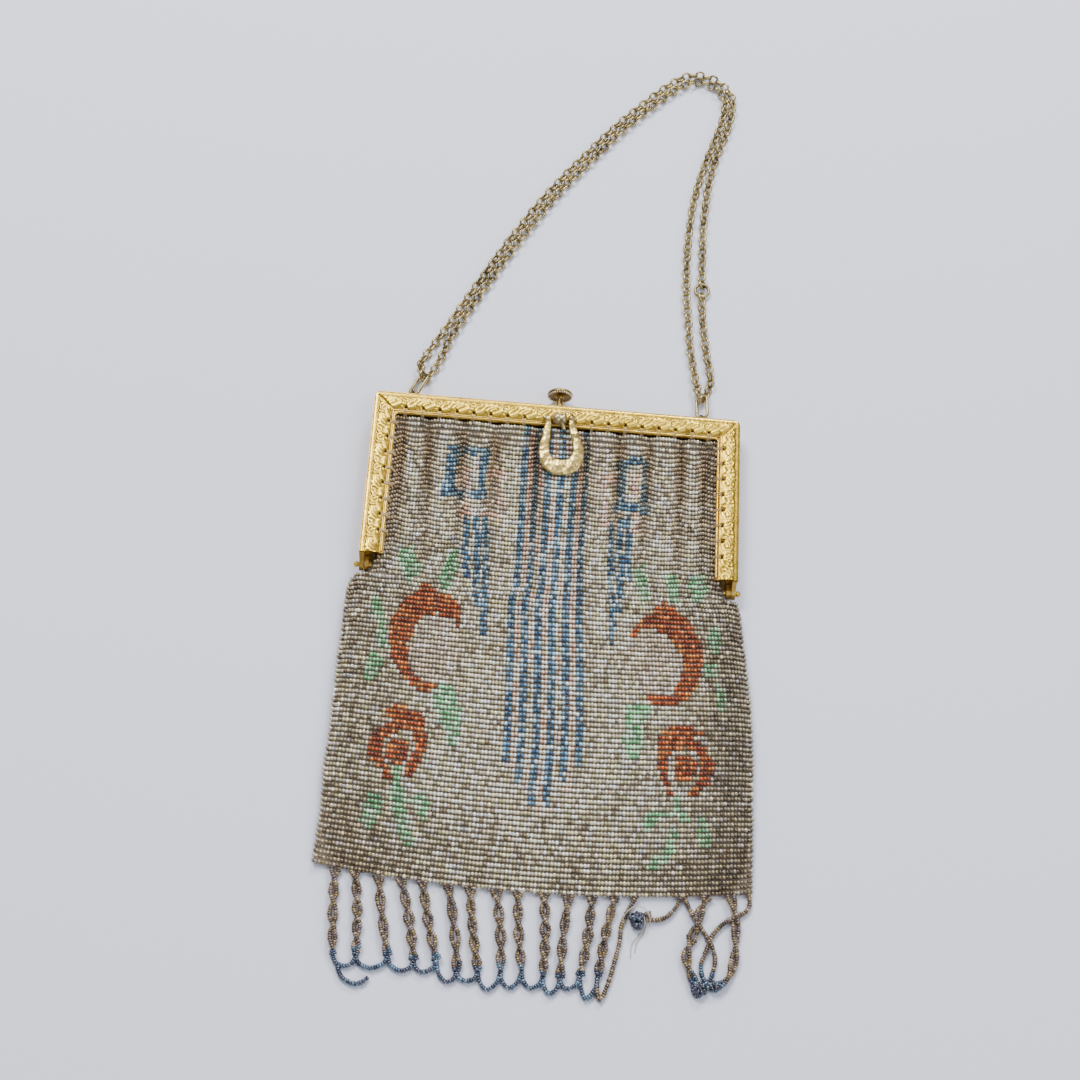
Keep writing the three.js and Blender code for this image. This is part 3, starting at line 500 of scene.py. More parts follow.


# The pattern, charted in millimetres as closed outlines
MOTIFS = {
    "copper": [
        [(-43.6, -72.6), (-40.1, -75.3), (-33.2, -78.5), (-30.8, -81.3), (-29.9, -84.6), (-29.5, -89.4),
         (-30.9, -89.6), (-31.5, -85.5), (-34.4, -85.4), (-38.3, -84.6), (-42, -85.6), (-45.7, -88.6),
         (-46, -92.9), (-47.7, -95.4), (-47.1, -103.1), (-44.8, -107.5), (-40.8, -109.8),
         (-34.2, -109.7), (-35.8, -111.6), (-38.6, -112.9), (-43, -112.8), (-48, -109.3),
         (-51.1, -105.1), (-53.1, -100.2), (-53.8, -95.5), (-54.6, -91.4), (-53.8, -87.5),
         (-51.8, -83.1), (-48.6, -78.9), (-45.2, -75.6)],
        [(40.7, -73.4), (44.7, -75.5), (49.4, -79.5), (53.8, -85.1), (56, -89.8), (55.8, -97.3),
         (53.6, -104.8), (50.9, -109), (47.4, -111.1), (44, -112.5), (39.4, -111.9), (35.9, -109.5),
         (41.8, -108.7), (45.6, -107.3), (48.2, -102.3), (49, -96.3), (47.1, -90.9), (42.8, -86.3),
         (38.2, -83.8), (33.6, -84.4), (30.9, -88.5), (29.8, -86.8), (32.4, -82), (35.9, -79.1),
         (38.3, -76.7)],
        [(-48.4, -118), (-45.5, -119.6), (-41.8, -120.4), (-39.2, -124.4), (-38, -131.7), (-39, -136.7),
         (-41.4, -141.5), (-43.9, -144.3), (-45.4, -142.4), (-44.2, -139.5), (-42.5, -135.2),
         (-42.1, -131.7), (-43.7, -128.3), (-47.5, -127.9), (-50.5, -129.2), (-52.6, -131.8),
         (-53.7, -134.7), (-52.4, -138.1), (-50.1, -141), (-48.8, -144.4), (-51.5, -144.9),
         (-52.8, -141.5), (-57.2, -137.6), (-58.4, -134.9), (-57.8, -130.6), (-54.1, -127),
         (-50.6, -124.3), (-52.7, -123.4), (-53.7, -121.7)],
        [(-52, -132.8), (-48.7, -130.4), (-44.9, -131.2), (-44.5, -135.4), (-45.2, -138.9),
         (-48.6, -139.5), (-51.8, -137.3)],
        [(50.4, -117.4), (53.2, -119.3), (57, -119.6), (56.4, -122.1), (52.6, -122.6), (55.4, -123.8),
         (57.5, -125.4), (60, -130), (60.7, -134.6), (58.8, -138.6), (55.7, -141.7), (52.1, -144.4),
         (51.2, -143), (54.8, -139.3), (56.1, -136), (56.3, -131.1), (54.2, -127.8), (50.6, -126.3),
         (47.2, -127.2), (44.9, -129.9), (44.3, -134.1), (45.5, -138.9), (47.4, -144), (45.4, -144.5),
         (43.7, -139.7), (41.2, -135.2), (40.4, -129.6), (41.2, -122.9), (43.9, -119.9), (47.7, -119)],
        [(47.3, -130.1), (50.7, -128.4), (53.9, -130.6), (54.4, -135.1), (52.4, -138.4), (48.3, -139.1),
         (46.8, -134.7)],
    ],
    "green": [
        [(-53.2, -61.2), (-48.4, -60), (-46.5, -65.2), (-44.2, -67.3), (-46.7, -72.1), (-48.6, -74.5),
         (-51, -70.9), (-53.1, -66.5)],
        [(-37, -59.8), (-32.8, -59.4), (-32, -64.7), (-33.1, -69.8), (-34.4, -74.8), (-38, -74.8),
         (-38.9, -71.4), (-37.5, -66.7)],
        [(-61.7, -80.6), (-59.3, -80), (-57.6, -83.6), (-55.7, -89.4), (-57.6, -91.8), (-59.7, -87.5),
         (-61.8, -83.9)],
        [(-58.9, -92.6), (-56.2, -91.7), (-55.2, -94.5), (-52.3, -96.5), (-52.8, -98.4), (-55.5, -99),
         (-58.2, -96.3)],
        [(-60.5, -101.2), (-56.8, -100.6), (-55.5, -103.4), (-56.9, -107.1), (-57.6, -110.8),
         (-60.6, -111.8), (-61.9, -109), (-61.3, -104.6)],
        [(-37.2, -111.4), (-31.1, -110.1), (-29.3, -115.8), (-26.5, -120.6), (-27.1, -126.3),
         (-29.1, -132.1), (-31.2, -130.8), (-33.4, -124.7), (-35.8, -120.6), (-37.5, -116.4)],
        [(-56.1, -149.7), (-51.5, -150.6), (-50.8, -153.7), (-52.7, -157.5), (-54.1, -161.2),
         (-56.3, -162), (-59, -159.3), (-57.8, -155.6)],
        [(-48.5, -140.5), (-45.8, -140.3), (-45.6, -145.9), (-44.1, -151.9), (-42.2, -159.2),
         (-39, -165), (-39.4, -167.7), (-43.5, -166.7), (-45.3, -162.1), (-47.4, -156.2),
         (-49.3, -150.6), (-48.3, -146.1)],
        [(-44.9, -150.3), (-40.9, -150.6), (-41, -149.3), (-37.7, -148.4), (-36, -152), (-35.3, -156.7),
         (-37.9, -157.9), (-40.3, -153.7), (-44.5, -151.9)],
        [(29.5, -61), (33.8, -59.8), (35.4, -65.1), (36.3, -71.9), (34.7, -75.8), (32.8, -72.9),
         (31.2, -67.7)],
        [(41.1, -63.1), (44.6, -62.4), (46.6, -66.8), (47.1, -72.5), (44.3, -74.3), (42.3, -69.1)],
        [(50.4, -63), (55.4, -61.8), (57, -67.1), (56.4, -72.1), (52.1, -72.1), (49.8, -67.7)],
        [(58, -81.4), (61.2, -80.8), (62.3, -85.6), (61.7, -90.8), (58.9, -91.4), (57.7, -86.7)],
        [(55.5, -95.8), (59, -94.8), (61.5, -96.8), (60.8, -100.5), (57, -100.8)],
        [(60.9, -102.7), (64.1, -103.9), (64.9, -109), (62.8, -113.5), (60.7, -110.8)],
        [(29.7, -112.2), (37.1, -112.2), (38.1, -114.5), (35.1, -119.6), (35.8, -126.2), (34.6, -131.9),
         (30.5, -132.3), (28.8, -124.8), (29.9, -118.1)],
        [(40.3, -148.8), (44, -149.4), (41.4, -152.8), (39.7, -156.1), (36.9, -155.9), (36.4, -153.1)],
        [(47.4, -143.3), (49.4, -143.2), (49.6, -149), (53.4, -150.1), (53.5, -151.5), (49, -151.5),
         (43.9, -150.8), (43.8, -149.5), (47.6, -148.8)],
        [(46.8, -154.7), (49.2, -155.2), (48.7, -160.7), (47.2, -165.5), (43.2, -167.8), (39.9, -170),
         (38.8, -168.1), (41.4, -164.6), (43.7, -162.4), (44.9, -158.2)],
        [(56.2, -150.3), (58.9, -151.1), (60.4, -155.7), (60.9, -159.8), (58.2, -161.3), (55.4, -158.8),
         (55.3, -154.1)],
    ],
    "blush": [
        [(-42.7, -86.4), (-31.9, -85.9), (-28.8, -93.8), (-29.6, -102.7), (-33.9, -109.3),
         (-40.8, -109.5), (-45.3, -105.5), (-46.9, -99), (-45.6, -93)],
        [(33.3, -85.7), (41.8, -86.5), (46.5, -92.1), (48.5, -97.9), (45.2, -106.2), (36.2, -108.4),
         (30.3, -101.5), (30, -92.7)],
    ],
}
BLUE_BARS = [
    ([(-37.4, -20.3), (-25.3, -19.9)], 1.7), ([(-36.7, -20.5), (-38.5, -38.2)], 1.9),
    ([(-25.5, -20.5), (-26.3, -37.6)], 1.3), ([(-39.4, -37.7), (-33.0, -37.6)], 1.7),
    ([(-29.4, -37.2), (-25.6, -37.0)], 1.7), ([(24.0, -20.4), (33.2, -18.9)], 1.7),
    ([(25.3, -21), (24.6, -37.5)], 1.4), ([(32.7, -19.5), (33.6, -37.8)], 1.3),
    ([(23.4, -37.9), (28.0, -38.0)], 1.7), ([(29.9, -38.2), (34.2, -38.3)], 1.7),
    ([(-30.7, -47.9), (-29.1, -70.2)], 1.1), ([(-26.8, -47.5), (-24.6, -79.7)], 1.1),
    ([(-23.6, -47.3), (-21.4, -89.9)], 1.1), ([(21.6, -45.6), (23.4, -89.5)], 1.1),
    ([(24.7, -43.4), (26.1, -78.4)], 1.1), ([(27.4, -43.1), (28.3, -65.7)], 1.1),
]
PINK_BARS = [
    ([(-32.6, -28.2), (-18.4, -28.0)], 1.3), ([(-31.8, -28), (-30.6, -46)], 1.0),
    ([(-19.2, -28), (-18.8, -46)], 1.0), ([(-32.4, -45.3), (-18.4, -45.2)], 1.3),
    ([(17.4, -27.5), (31, -25.8)], 1.3), ([(18, -27.5), (19.4, -45.5)], 1.0),
    ([(29.6, -26), (30.6, -46)], 1.0), ([(18.4, -45.2), (31.8, -46.4)], 1.3),
]
# The y where each of the six long blue stripes ends. They are two beads wide and stand two beads apart
STRIPE_ENDS = np.array([-134.5, -141.5, -149.7, -148.4, -140.4, -134.4])
# How many of the beads between two stripes are pink, by turns
ROSY_GAP = 0.85
PALE_GAP = 0.4
GROUND = [
    linear(236, 232, 216), linear(216, 206, 178), linear(178, 166, 142), linear(212, 210, 210),
    linear(196, 190, 148), linear(138, 122, 98),
]
PALETTE = {
    "blue": [linear(80, 122, 152), linear(114, 152, 174), linear(52, 86, 120), linear(186, 210, 220)],
    "pink": [linear(255, 214, 194), linear(246, 192, 168), linear(255, 234, 222)],
    "copper": [linear(158, 68, 24), linear(128, 50, 18), linear(184, 90, 34), linear(216, 134, 62)],
    "green": [linear(146, 212, 160), linear(184, 232, 190), linear(120, 184, 132), linear(208, 240, 210)],
}
BLUSH = linear(214, 190, 172)
# Painted shade: what the beads are multiplied by in the hollows and towards the sides and the bottom. Then how
# many beads are much brighter, partly silver-lined and partly painted sparkle
PAINTED_HOLLOW_SHADE = linear(158, 136, 110)
PAINTED_SIDE_SHADE = linear(176, 156, 128)
SPARKLING = 0.13


def ground_shades(x, brown):
    """The ground's beads, each a shade picked at random. Brown shades are likelier where brown is high, and
    each column of beads leans a little to the light or the dark ones."""
    streak = chance.normal(0, 1, x.shape[1])
    streak = np.convolve(streak, np.ones(3) / 3, "same")[None]
    weights = np.stack(np.broadcast_arrays(
        1.5 - brown + 0.5 * streak, 1.3 + 0 * x, 0.8 + 0.5 * brown - 0.4 * streak, 0.5 + 0 * x,
        0.5 + 0.2 * streak, 0.25 + 0.9 * brown,
    ), -1).clip(0.02)
    weights = np.cumsum(weights / weights.sum(-1, keepdims=True), -1)
    pick = (chance.random(x.shape)[..., None] > weights).sum(-1).clip(0, len(GROUND) - 1)
    return np.array(GROUND)[pick]


def pattern(x, y):
    """The name of the pattern's colour at each bead, or ground. The long stripes follow the columns of
    beads, two blue ones and two between them. All other motifs lie where their outlines are drawn."""
    kind = np.full(x.shape, "ground", dtype="<U6")
    for route, reach in PINK_BARS:
        kind[near(x, y, route, reach)] = "pink"
    count = len(STRIPE_ENDS)
    stripe, part = np.divmod(np.arange(x.shape[1]) - x.shape[1] // 2 + 2 * count - 1, 4)
    level = y.mean(1, keepdims=True)
    end = STRIPE_ENDS[stripe.clip(0, count - 1)]
    kind[(stripe >= 0) & (stripe < count) & (part < 2) & (level > end)] = "blue"
    rosy = np.where(stripe % 2 == 0, ROSY_GAP, PALE_GAP) > chance.random(x.shape)
    kind[(stripe >= 0) & (stripe < count - 1) & (part > 1) & (level > end - 3) & rosy] = "pink"
    for route, reach in BLUE_BARS:
        kind[near(x, y, route, reach)] = "blue"
    for name in ("green", "copper"):
        for corners in MOTIFS[name]:
            kind[inside(x, y, corners)] = name
    return kind


def chart(points, hollow):
    """The colour of each bead from its place: which motif it lies in, then a shade picked at random. Painted
    shade makes the beads in the hollows between the gathers and by the side edges darker and browner, and
    darker towards the sides, the bottom and the right edge; painted light makes the middle brighter. points
    holds (row, bead, xyz)."""
    x, y = points[..., 0], points[..., 1]
    # Browner beads towards the sides and the bottom; the same amount also scales the painted shade there
    side = np.clip((x - 46) / 20, 0, 1) + 0.75 * np.clip((-x - 42) / 24, 0, 1)
    low = np.clip((-y - 148) / 30, 0, 1) * (0.3 + 0.5 * np.clip(np.abs(x + 4) / 50, 0, 1))
    brown = np.clip(side * np.clip((-y - 40) / 50, 0.4, 1) + low, 0, 1.6)
    shades = ground_shades(x, brown)
    blush = np.zeros(x.shape, bool)
    for corners in MOTIFS["blush"]:
        blush |= inside(x, y, corners)
    shades = np.where(blush[..., None], 0.6 * shades + 0.4 * BLUSH, shades)
    kind = pattern(x, y)
    for name, colours in PALETTE.items():
        here = kind == name
        choice = np.array(colours)[chance.integers(0, len(colours), here.sum())]
        if name == "pink":
            choice = 0.78 * choice + 0.25 * shades[here]
        shades[here] = choice
    # Some beads are much brighter, partly silver-lined and partly painted sparkle, and all vary at random in
    # tone
    sparkle = np.where(chance.random(x.shape) < SPARKLING, 1.7, 1.0) * chance.uniform(0.66, 1.22, x.shape)
    # Painted shade and light: darker in the hollows and towards the sides, the bottom and the right edge,
    # brighter in the middle
    painted_light = 1 + hollow[..., None] * (PAINTED_HOLLOW_SHADE - 1)
    painted_light = painted_light * (1 + 0.5 * brown[..., None] * (PAINTED_SIDE_SHADE - 1))
    right_edge, centre = np.clip((x - 54) / 14, 0, 1), np.clip(1.25 - np.abs(x) / 48, 0, 1)
    painted_light = painted_light * (1 - 0.26 * right_edge + 0.18 * centre)[..., None]
    return np.clip(shades * sparkle[..., None] * painted_light, 0, 1)


# Profiles of a bead: place along its axis as a share of its length, radius as a share of the full one
BARREL = [(-0.5, 0.52), (0.0, 1.0), (0.5, 0.52)]
PLAIN = [(-0.46, 0.9), (0.46, 0.9)]
DISC = [(-0.5, 0.68), (-0.24, 1.0), (0.24, 1.0), (0.5, 0.68)]


def bead_shape(radius, profile, sides=6):
    """A glass bead on its axis x: a profile of rings with an even number of sides and flat ends."""
    angle = np.linspace(0, 2 * math.pi, sides, endpoint=False)
    points = [
        np.stack([np.full(sides, share), wide * radius * np.cos(angle), wide * radius * np.sin(angle)], 1)
        for share, wide in profile
    ]
    far = sides * (len(profile) - 1)
    near_end = np.array([(0, k + 3, k + 2, k + 1) for k in range(0, sides - 2, 2)])
    far_end = near_end[:, ::-1] + far
    faces = np.concatenate([grid_faces(len(profile), sides, False, True), near_end, far_end])
    return np.concatenate(points), faces


# The first row below the mouth, and a bead's length as a share of its room in the row
FIRST_ROW = 0.65
BEAD_FILL = 0.97
# How far a row's ends are tucked down beside the frame, front and back, while it is narrower than this
TUCK_FRONT = 5.4
TUCK_BACK = -3.0
UNTUCKED_HALF = 68.5
TUCK_WAY = 9.6
BEAD_SLANT = 0.14


def row_line(fine, down, front):
    """One row's middle line: the bag's face moved inward by a bead's radius, with both ends tucked down
    where the bag goes into the frame."""
    line = bag_surface(fine, np.full(fine.shape, down), front)
    inward = np.array([0, 0, -BEAD_RADIUS if front else BEAD_RADIUS])
    side = unit(np.cross(unit(np.gradient(line, axis=0)), [0, 1.0, 0]))
    side = side * np.sign(side[:, 2:]) * (-1 if front else 1)
    line = line + np.where(np.abs(side[:, 2:]) > 0.2, side * BEAD_RADIUS, inward)
    half = np.ptp(line[:, 0]) / 2
    tuck = np.array([0, 0, TUCK_FRONT if front else TUCK_BACK])
    tuck = tuck * np.clip((UNTUCKED_HALF - half) / TUCK_WAY, 0, 1)
    return np.vstack([line[:1] - tuck, line, line[-1:] - tuck])


def bead_rows(front):
    """Places, axes and colours of the seed beads on one face. Each row is a line across the face at one
    distance down, and its beads are spaced by its own length, so they crowd on the gathers' slopes."""
    fine = np.sin(np.linspace(-1, 1, 900) * math.pi / 2)
    pitches = np.linspace(ROW_PITCH_TOP, ROW_PITCH_BOTTOM, ROWS)
    downs = -MOUTH_Y + FIRST_ROW + np.cumsum(pitches) - pitches[0]
    count = np.arange(BEADS_ACROSS) + 0.5 - BEADS_ACROSS / 2
    centres, axes, grid, hollow = [], [], [], []
    for down in downs:
        line = row_line(fine, down, front)
        run = run_along(line)
        middle = np.interp(0, fine, run[1:-1])
        pitch = np.where(count < 0, middle, run[-1] - middle) / (BEADS_ACROSS / 2)
        at = middle + count * pitch
        here = resampled(line, run, at)
        after = resampled(line, run, np.minimum(at + 0.3, run[-1]))
        before = resampled(line, run, np.maximum(at - 0.3, 0))
        tangent = unit(after - before)
        slant = BEAD_SLANT + chance.normal(0, 0.09, BEADS_ACROSS)
        tangent = unit(tangent + slant[:, None] * np.array([0, 1.0, 0]))
        second = unit(np.cross(tangent, [0, 0, 1.0]) + [0, 1e-9, 0])
        third = np.cross(tangent, second)
        size = chance.normal(1, 0.045, BEADS_ACROSS)
        axes.append(np.stack([
            tangent * (pitch * BEAD_FILL * size)[:, None], second * size[:, None], third * size[:, None],
        ], 1))
        centres.append(here + chance.normal(0, 0.05, here.shape))
        grid.append(here)
        place = np.interp(at, run[1:-1], fine)
        deep, dome = gathers(place, np.full(BEADS_ACROSS, down))
        share = max(gather_share(down), 1e-6)
        # Painted shade: how much darker a bead is drawn, in the hollows between the gathers and by the side
        # edges of the upper part; half as much on the back
        edge = 0.7 * np.clip((np.abs(place) - 0.94) / 0.05, 0, 1) * np.clip((100 - down) / 20, 0, 1)
        dark = np.clip(share * (1 - (dome / share) ** 2) * 1.15 + edge, 0, 1)
        hollow.append(dark * (1.0 if front else 0.5))
    return np.array(centres), np.array(axes), np.array(grid), np.array(hollow)


def beadwork(front, material):
    """All beads of one face, as an upper, a middle and a lower piece."""
    centres, axes, grid, hollow = bead_rows(front)
    tints = chart(grid, hollow)
    shape, faces = bead_shape(BEAD_RADIUS, BARREL if front else PLAIN)
    name = "front" if front else "back"
    for number, part in enumerate(("upper", "middle", "lower")):
        rows = slice(number * ROWS // 3, (number + 1) * ROWS // 3)
        places, turns = centres[rows].reshape(-1, 3), axes[rows].reshape(-1, 3, 3)
        points, all_faces = copies(shape, faces, places, turns)
        colours = np.repeat(tints[rows].reshape(-1, 3), len(shape), 0)
        made = piece(f"beads_{name}_{part}", points, all_faces, material, "purse", colours)
        if part == "upper" and front:
            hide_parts("bag_body")


# How far the cloth lies inside the face, in bead radii, and its edges' place as a share of the bag's
CLOTH_DEPTH = 1.45
CLOTH_REACH = 0.996


def lining(material):
    """The cloth that carries the beads, one sheet for each face, just inside the beads' middles."""
    place = np.sin(np.linspace(-1, 1, 101) * math.pi / 2)
    down = np.union1d(np.linspace(-MOUTH_Y - 0.1, -MOUTH_Y + BAG_LENGTH + 0.3, 84), OUTLINE[2:7, 0])
    across, along = np.meshgrid(place, down)
    faces = grid_faces(*across.shape)
    for front in (True, False):
        points = bag_surface(across * CLOTH_REACH, along, front)
        inner = 1.0 if front else -1.0
        points[..., 2] -= inner * BEAD_RADIUS * CLOTH_DEPTH
        name = "cloth_front" if front else "cloth_back"
        made = piece(name, points.reshape(-1, 3), faces[:, ::-1] if front else faces, material, "purse")


# Frame: relief on the front plate, the bright rail and the sewing thread

# Inset from the outer edge and height above the surface: over the rounded edge and the low crown to the rail
PLATE_SECTION = np.array([
    (-0.12, 8.6), (-0.12, 9.3), (0.05, 9.8), (0.4, 10.14), (0.9, 10.26), (1.4, 10.24), (1.8, 10.18),
    (2.4, 10.3), (3.2, 10.36), (4.0, 10.34), (4.8, 10.26), (5.6, 10.18), (6.4, 10.12), (7.0, 10.06),
    (7.3, 9.9),
])
RELIEF_HEIGHT = 0.36
# The mitred joint in each corner: how wide and deep it is
SEAM_WIDTH, SEAM_DEPTH = 0.5, 0.18
# How bright the ground between the leaves, the plain rim and its outer edge are, as shares. The ground's
# darkness is painted shade in the recesses, the outer edge's is painted shade of the side wall
PAINTED_RECESS_SHADE, RIM_SHADE, PAINTED_EDGE_SHADE = 0.42, 0.84, 0.5
# A sewing hole's radius, how deep its dent is, and how dark the dent is painted as the hole's shaded inside
HOLE_RADIUS, HOLE_DENT, HOLE_PAINTED_SHADE = 0.82, 0.3, 0.97
# Strokes of the leaves between three sewing holes: radius, then points along the frame and inset from its edge
LEAF_STROKES = [
    (0.55, [(4.3, 6.0), (5.3, 5.6), (6.4, 5.1), (7.4, 4.6)]),
    (0.32, [(0.4, 4.7), (1.4, 3.5), (2.8, 2.8), (4.4, 2.5)]),
    (0.3, [(1.7, 5.0), (2.9, 3.9), (4.3, 3.3), (5.6, 3.2)]), (0.28, [(3.3, 5.0), (4.2, 4.3), (5.3, 4.0)]),
    (0.25, [(0.1, 2.9), (0.5, 2.2), (1.3, 2.1), (1.8, 2.6), (1.3, 3.0)]), (0.22, [(4.9, 2.2), (5.6, 2.5)]),
    (0.24, [(2.6, 2.1), (3.4, 2.0)]), (0.55, [(10.4, 6.0), (11.4, 5.7), (12.4, 5.3)]),
    (0.26, [(9.2, 4.6), (8.2, 4.9), (7.4, 4.2), (7.5, 3.1), (8.4, 2.4), (9.6, 2.6), (10.0, 3.5), (9.2, 4.0),
            (8.6, 3.5)]),
    (0.3, [(10.2, 5.0), (11.0, 4.0), (12.2, 3.4)]), (0.26, [(10.6, 3.0), (11.4, 2.4), (12.3, 2.2)]),
    (0.26, [(6.6, 3.9), (6.5, 2.9), (7.0, 2.1)]), (0.24, [(8.0, 5.9), (9.0, 5.7), (9.7, 5.2)]),
]
LEAF_REPEAT = 2 * HOLE_PITCH


def relief(along, inset):
    """Height of the stamped leaves from 0 to 1: the highest of soft round bumps strung along the strokes, the
    same again after every second sewing hole."""
    local = np.mod(along, LEAF_REPEAT)
    height = np.zeros(np.shape(along))
    for radius, stroke in LEAF_STROKES:
        for px, py in smooth_path(stroke, 5 * len(stroke)):
            across = np.mod(local - px + LEAF_REPEAT / 2, LEAF_REPEAT) - LEAF_REPEAT / 2
            height = np.maximum(height, np.exp(-(across ** 2 + (inset - py) ** 2) / (2 * radius ** 2)))
    return height


def frame_side(start, end, count, mitre_start, mitre_end, first_hole):
    """One straight side of the front plate. Its ends are cut to a mitre, leaves stand up on it with painted
    shade between them, and it sinks round the sewing holes, where the holes' shaded insides are painted dark."""
    start, end = np.array(start, float), np.array(end, float)
    direction = unit(end - start)
    inward = np.array([direction[1], -direction[0]])
    length = np.linalg.norm(end - start)
    steps = np.arange(len(PLATE_SECTION))
    fine, crown = resampled(PLATE_SECTION, steps, np.linspace(0, steps[-1], 36)).T
    share = np.linspace(0, 1, count)[:, None]
    low = np.maximum(fine, 0) * mitre_start
    high = length - np.maximum(fine, 0) * mitre_end
    along = low + (high - low) * share
    stamped = relief(along - first_hole, fine[None] + 0 * along)
    inside_edge = np.clip((fine - 1.35) / 0.3, 0, 1) * np.clip((6.9 - fine) / 0.3, 0, 1)
    seam = 1 - np.exp(-((along - low) / SEAM_WIDTH) ** 2) * mitre_start
    seam = np.clip(seam - np.exp(-((high - along) / SEAM_WIDTH) ** 2) * mitre_end, 0, 1)
    height = crown + (RELIEF_HEIGHT * stamped * seam - SEAM_DEPTH * (1 - seam)) * inside_edge
    flat = start + direction * along[..., None] + inward * fine[None, :, None]
    corner = np.array([FRAME_HALF_WIDTH, 0.0]) - CORNER_RADIUS
    beyond = np.stack([np.abs(flat[..., 0]) - corner[0], flat[..., 1] - corner[1]], -1)
    reach = np.linalg.norm(np.maximum(beyond, 0), axis=-1)
    drawn = (beyond > 0).all(-1) & (reach > CORNER_RADIUS)
    short = beyond * (CORNER_RADIUS / np.maximum(reach, 1e-9))[..., None]
    rounded = np.stack([np.sign(flat[..., 0]) * (corner[0] + short[..., 0]), corner[1] + short[..., 1]], -1)
    flat = np.where(drawn[..., None], rounded, flat)
    # Painted shade: the ground between the raised leaves is darker, and the outer edge is darker as the side
    # wall's shade
    shade = PAINTED_RECESS_SHADE + (1 - PAINTED_RECESS_SHADE) * stamped * seam
    shade = np.where(fine[None] < 1.4, RIM_SHADE, shade)
    shade = np.where(fine[None] < 0.5, PAINTED_EDGE_SHADE, shade)
    for hole_x, hole_y, _, _ in holes():
        away = np.hypot(flat[..., 0] - hole_x, flat[..., 1] - hole_y)
        dent = np.exp(-(away / HOLE_RADIUS) ** 4)
        height = height - HOLE_DENT * dent
        # Painted shade: the dent is painted nearly black for the hole's shaded inside
        shade = shade * (1 - HOLE_PAINTED_SHADE * dent)
    points = np.concatenate([flat, height[..., None]], -1)
    # Darker tints turn browner, so the painted shade is a brown one
    tints = shade[..., None] ** np.array([1.0, 1.12, 1.3])
    return points.reshape(-1, 3), grid_faces(*along.shape), tints.reshape(-1, 3)


def frame_relief():
    """The stamped front of the whole frame, in three straight sides that meet at the corners."""
    half, step = FRAME_HALF_WIDTH, HOLE_PITCH / 2
    sides = [
        frame_side((-half, -LEG_LENGTH), (-half, 0), 270, 0, 1, LEG_LENGTH - 2 * HOLE_INSET - step),
        frame_side((-half, 0), (half, 0), 560, 1, 1, half - step),
        frame_side((half, 0), (half, -LEG_LENGTH), 270, 1, 0, 2 * HOLE_INSET - step),
    ]
    points, faces = joined([side[:2] for side in sides])
    tints = np.concatenate([side[2] for side in sides])
    made = piece("frame_relief", points, faces, RELIEF, "purse", tints)


def rail():
    """The rounded bright rail inside the plate, from the left leg's end round to the right one's."""
    x, y, bend = FRAME_HALF_WIDTH - RAIL_INSET - 0.15, -RAIL_INSET - 0.15, 1.6
    corner = [
        (x - bend + bend * math.sin(angle), y - bend + bend * math.cos(angle))
        for angle in np.linspace(0, math.pi / 2, 7)
    ]
    right = np.array([(CLASP_X, y), (x - 20, y)] + corner + [(x, -40), (x, -LEG_LENGTH + 0.4)])
    left = right[::-1] * [-1, 1]
    line = np.vstack([left[:-1], right])
    run = run_along(line)
    path = resampled(line, run, np.linspace(0, run[-1], 320))
    path = np.column_stack([path, np.full(len(path), RAIL_TOP - 0.05)])
    points, faces = tube(path, 0.52, 10)
    made = closed_up(piece("frame_rail", points, faces, GILT, "purse"))


def holes():
    """The sewing holes' places and the direction from the frame towards the bag."""
    reach = FRAME_HALF_WIDTH - HOLE_INSET - HOLE_PITCH / 2
    count = math.floor(2 * reach / HOLE_PITCH)
    places = []
    for hole in range(count + 1):
        x = (hole - count / 2) * HOLE_PITCH
        if abs(x - CLASP_X) > CLASP_CLEAR:
            places.append((x, -HOLE_INSET, 0, -1))
    for hole in range(math.floor((LEG_LENGTH - 2 * HOLE_INSET) / HOLE_PITCH)):
        y = -2 * HOLE_INSET - hole * HOLE_PITCH
        places += [(-(FRAME_HALF_WIDTH - HOLE_INSET), y, 1, 0), (FRAME_HALF_WIDTH - HOLE_INSET, y, -1, 0)]
    return places


def stitches():
    """Three strands of beige thread at each hole, up through it, over the rail and down into the beadwork.
    They are thick on the left leg and fine elsewhere. steps holds each point's reach, height and spread."""
    steps = [
        (0.35, 9.6, 0.5), (0.6, 10.05, 0.7), (1.0, 10.16, 0.9), (1.7, 10.14, 1.0), (2.25, 9.75, 1.0),
        (2.75, 9.0, 1.2), (3.3, 8.3, 1.5),
    ]
    parts = []
    for x, y, dx, dy in holes():
        hole, inward, side = np.array([x, y]), np.array([dx, dy]), np.array([dy, dx])
        for strand in range(3):
            spread = (strand - 1) * 0.36 + chance.normal(0, 0.1)
            path = [(*(hole + inward * reach + side * spread * wide), z) for reach, z, wide in steps]
            parts.append(tube(smooth_path(path, 16), 0.24 if dx > 0 else 0.11, 6))
    points, faces = joined(parts)
    made = closed_up(piece("sewing_thread", points, faces, THREAD, "purse"))


# Clasp


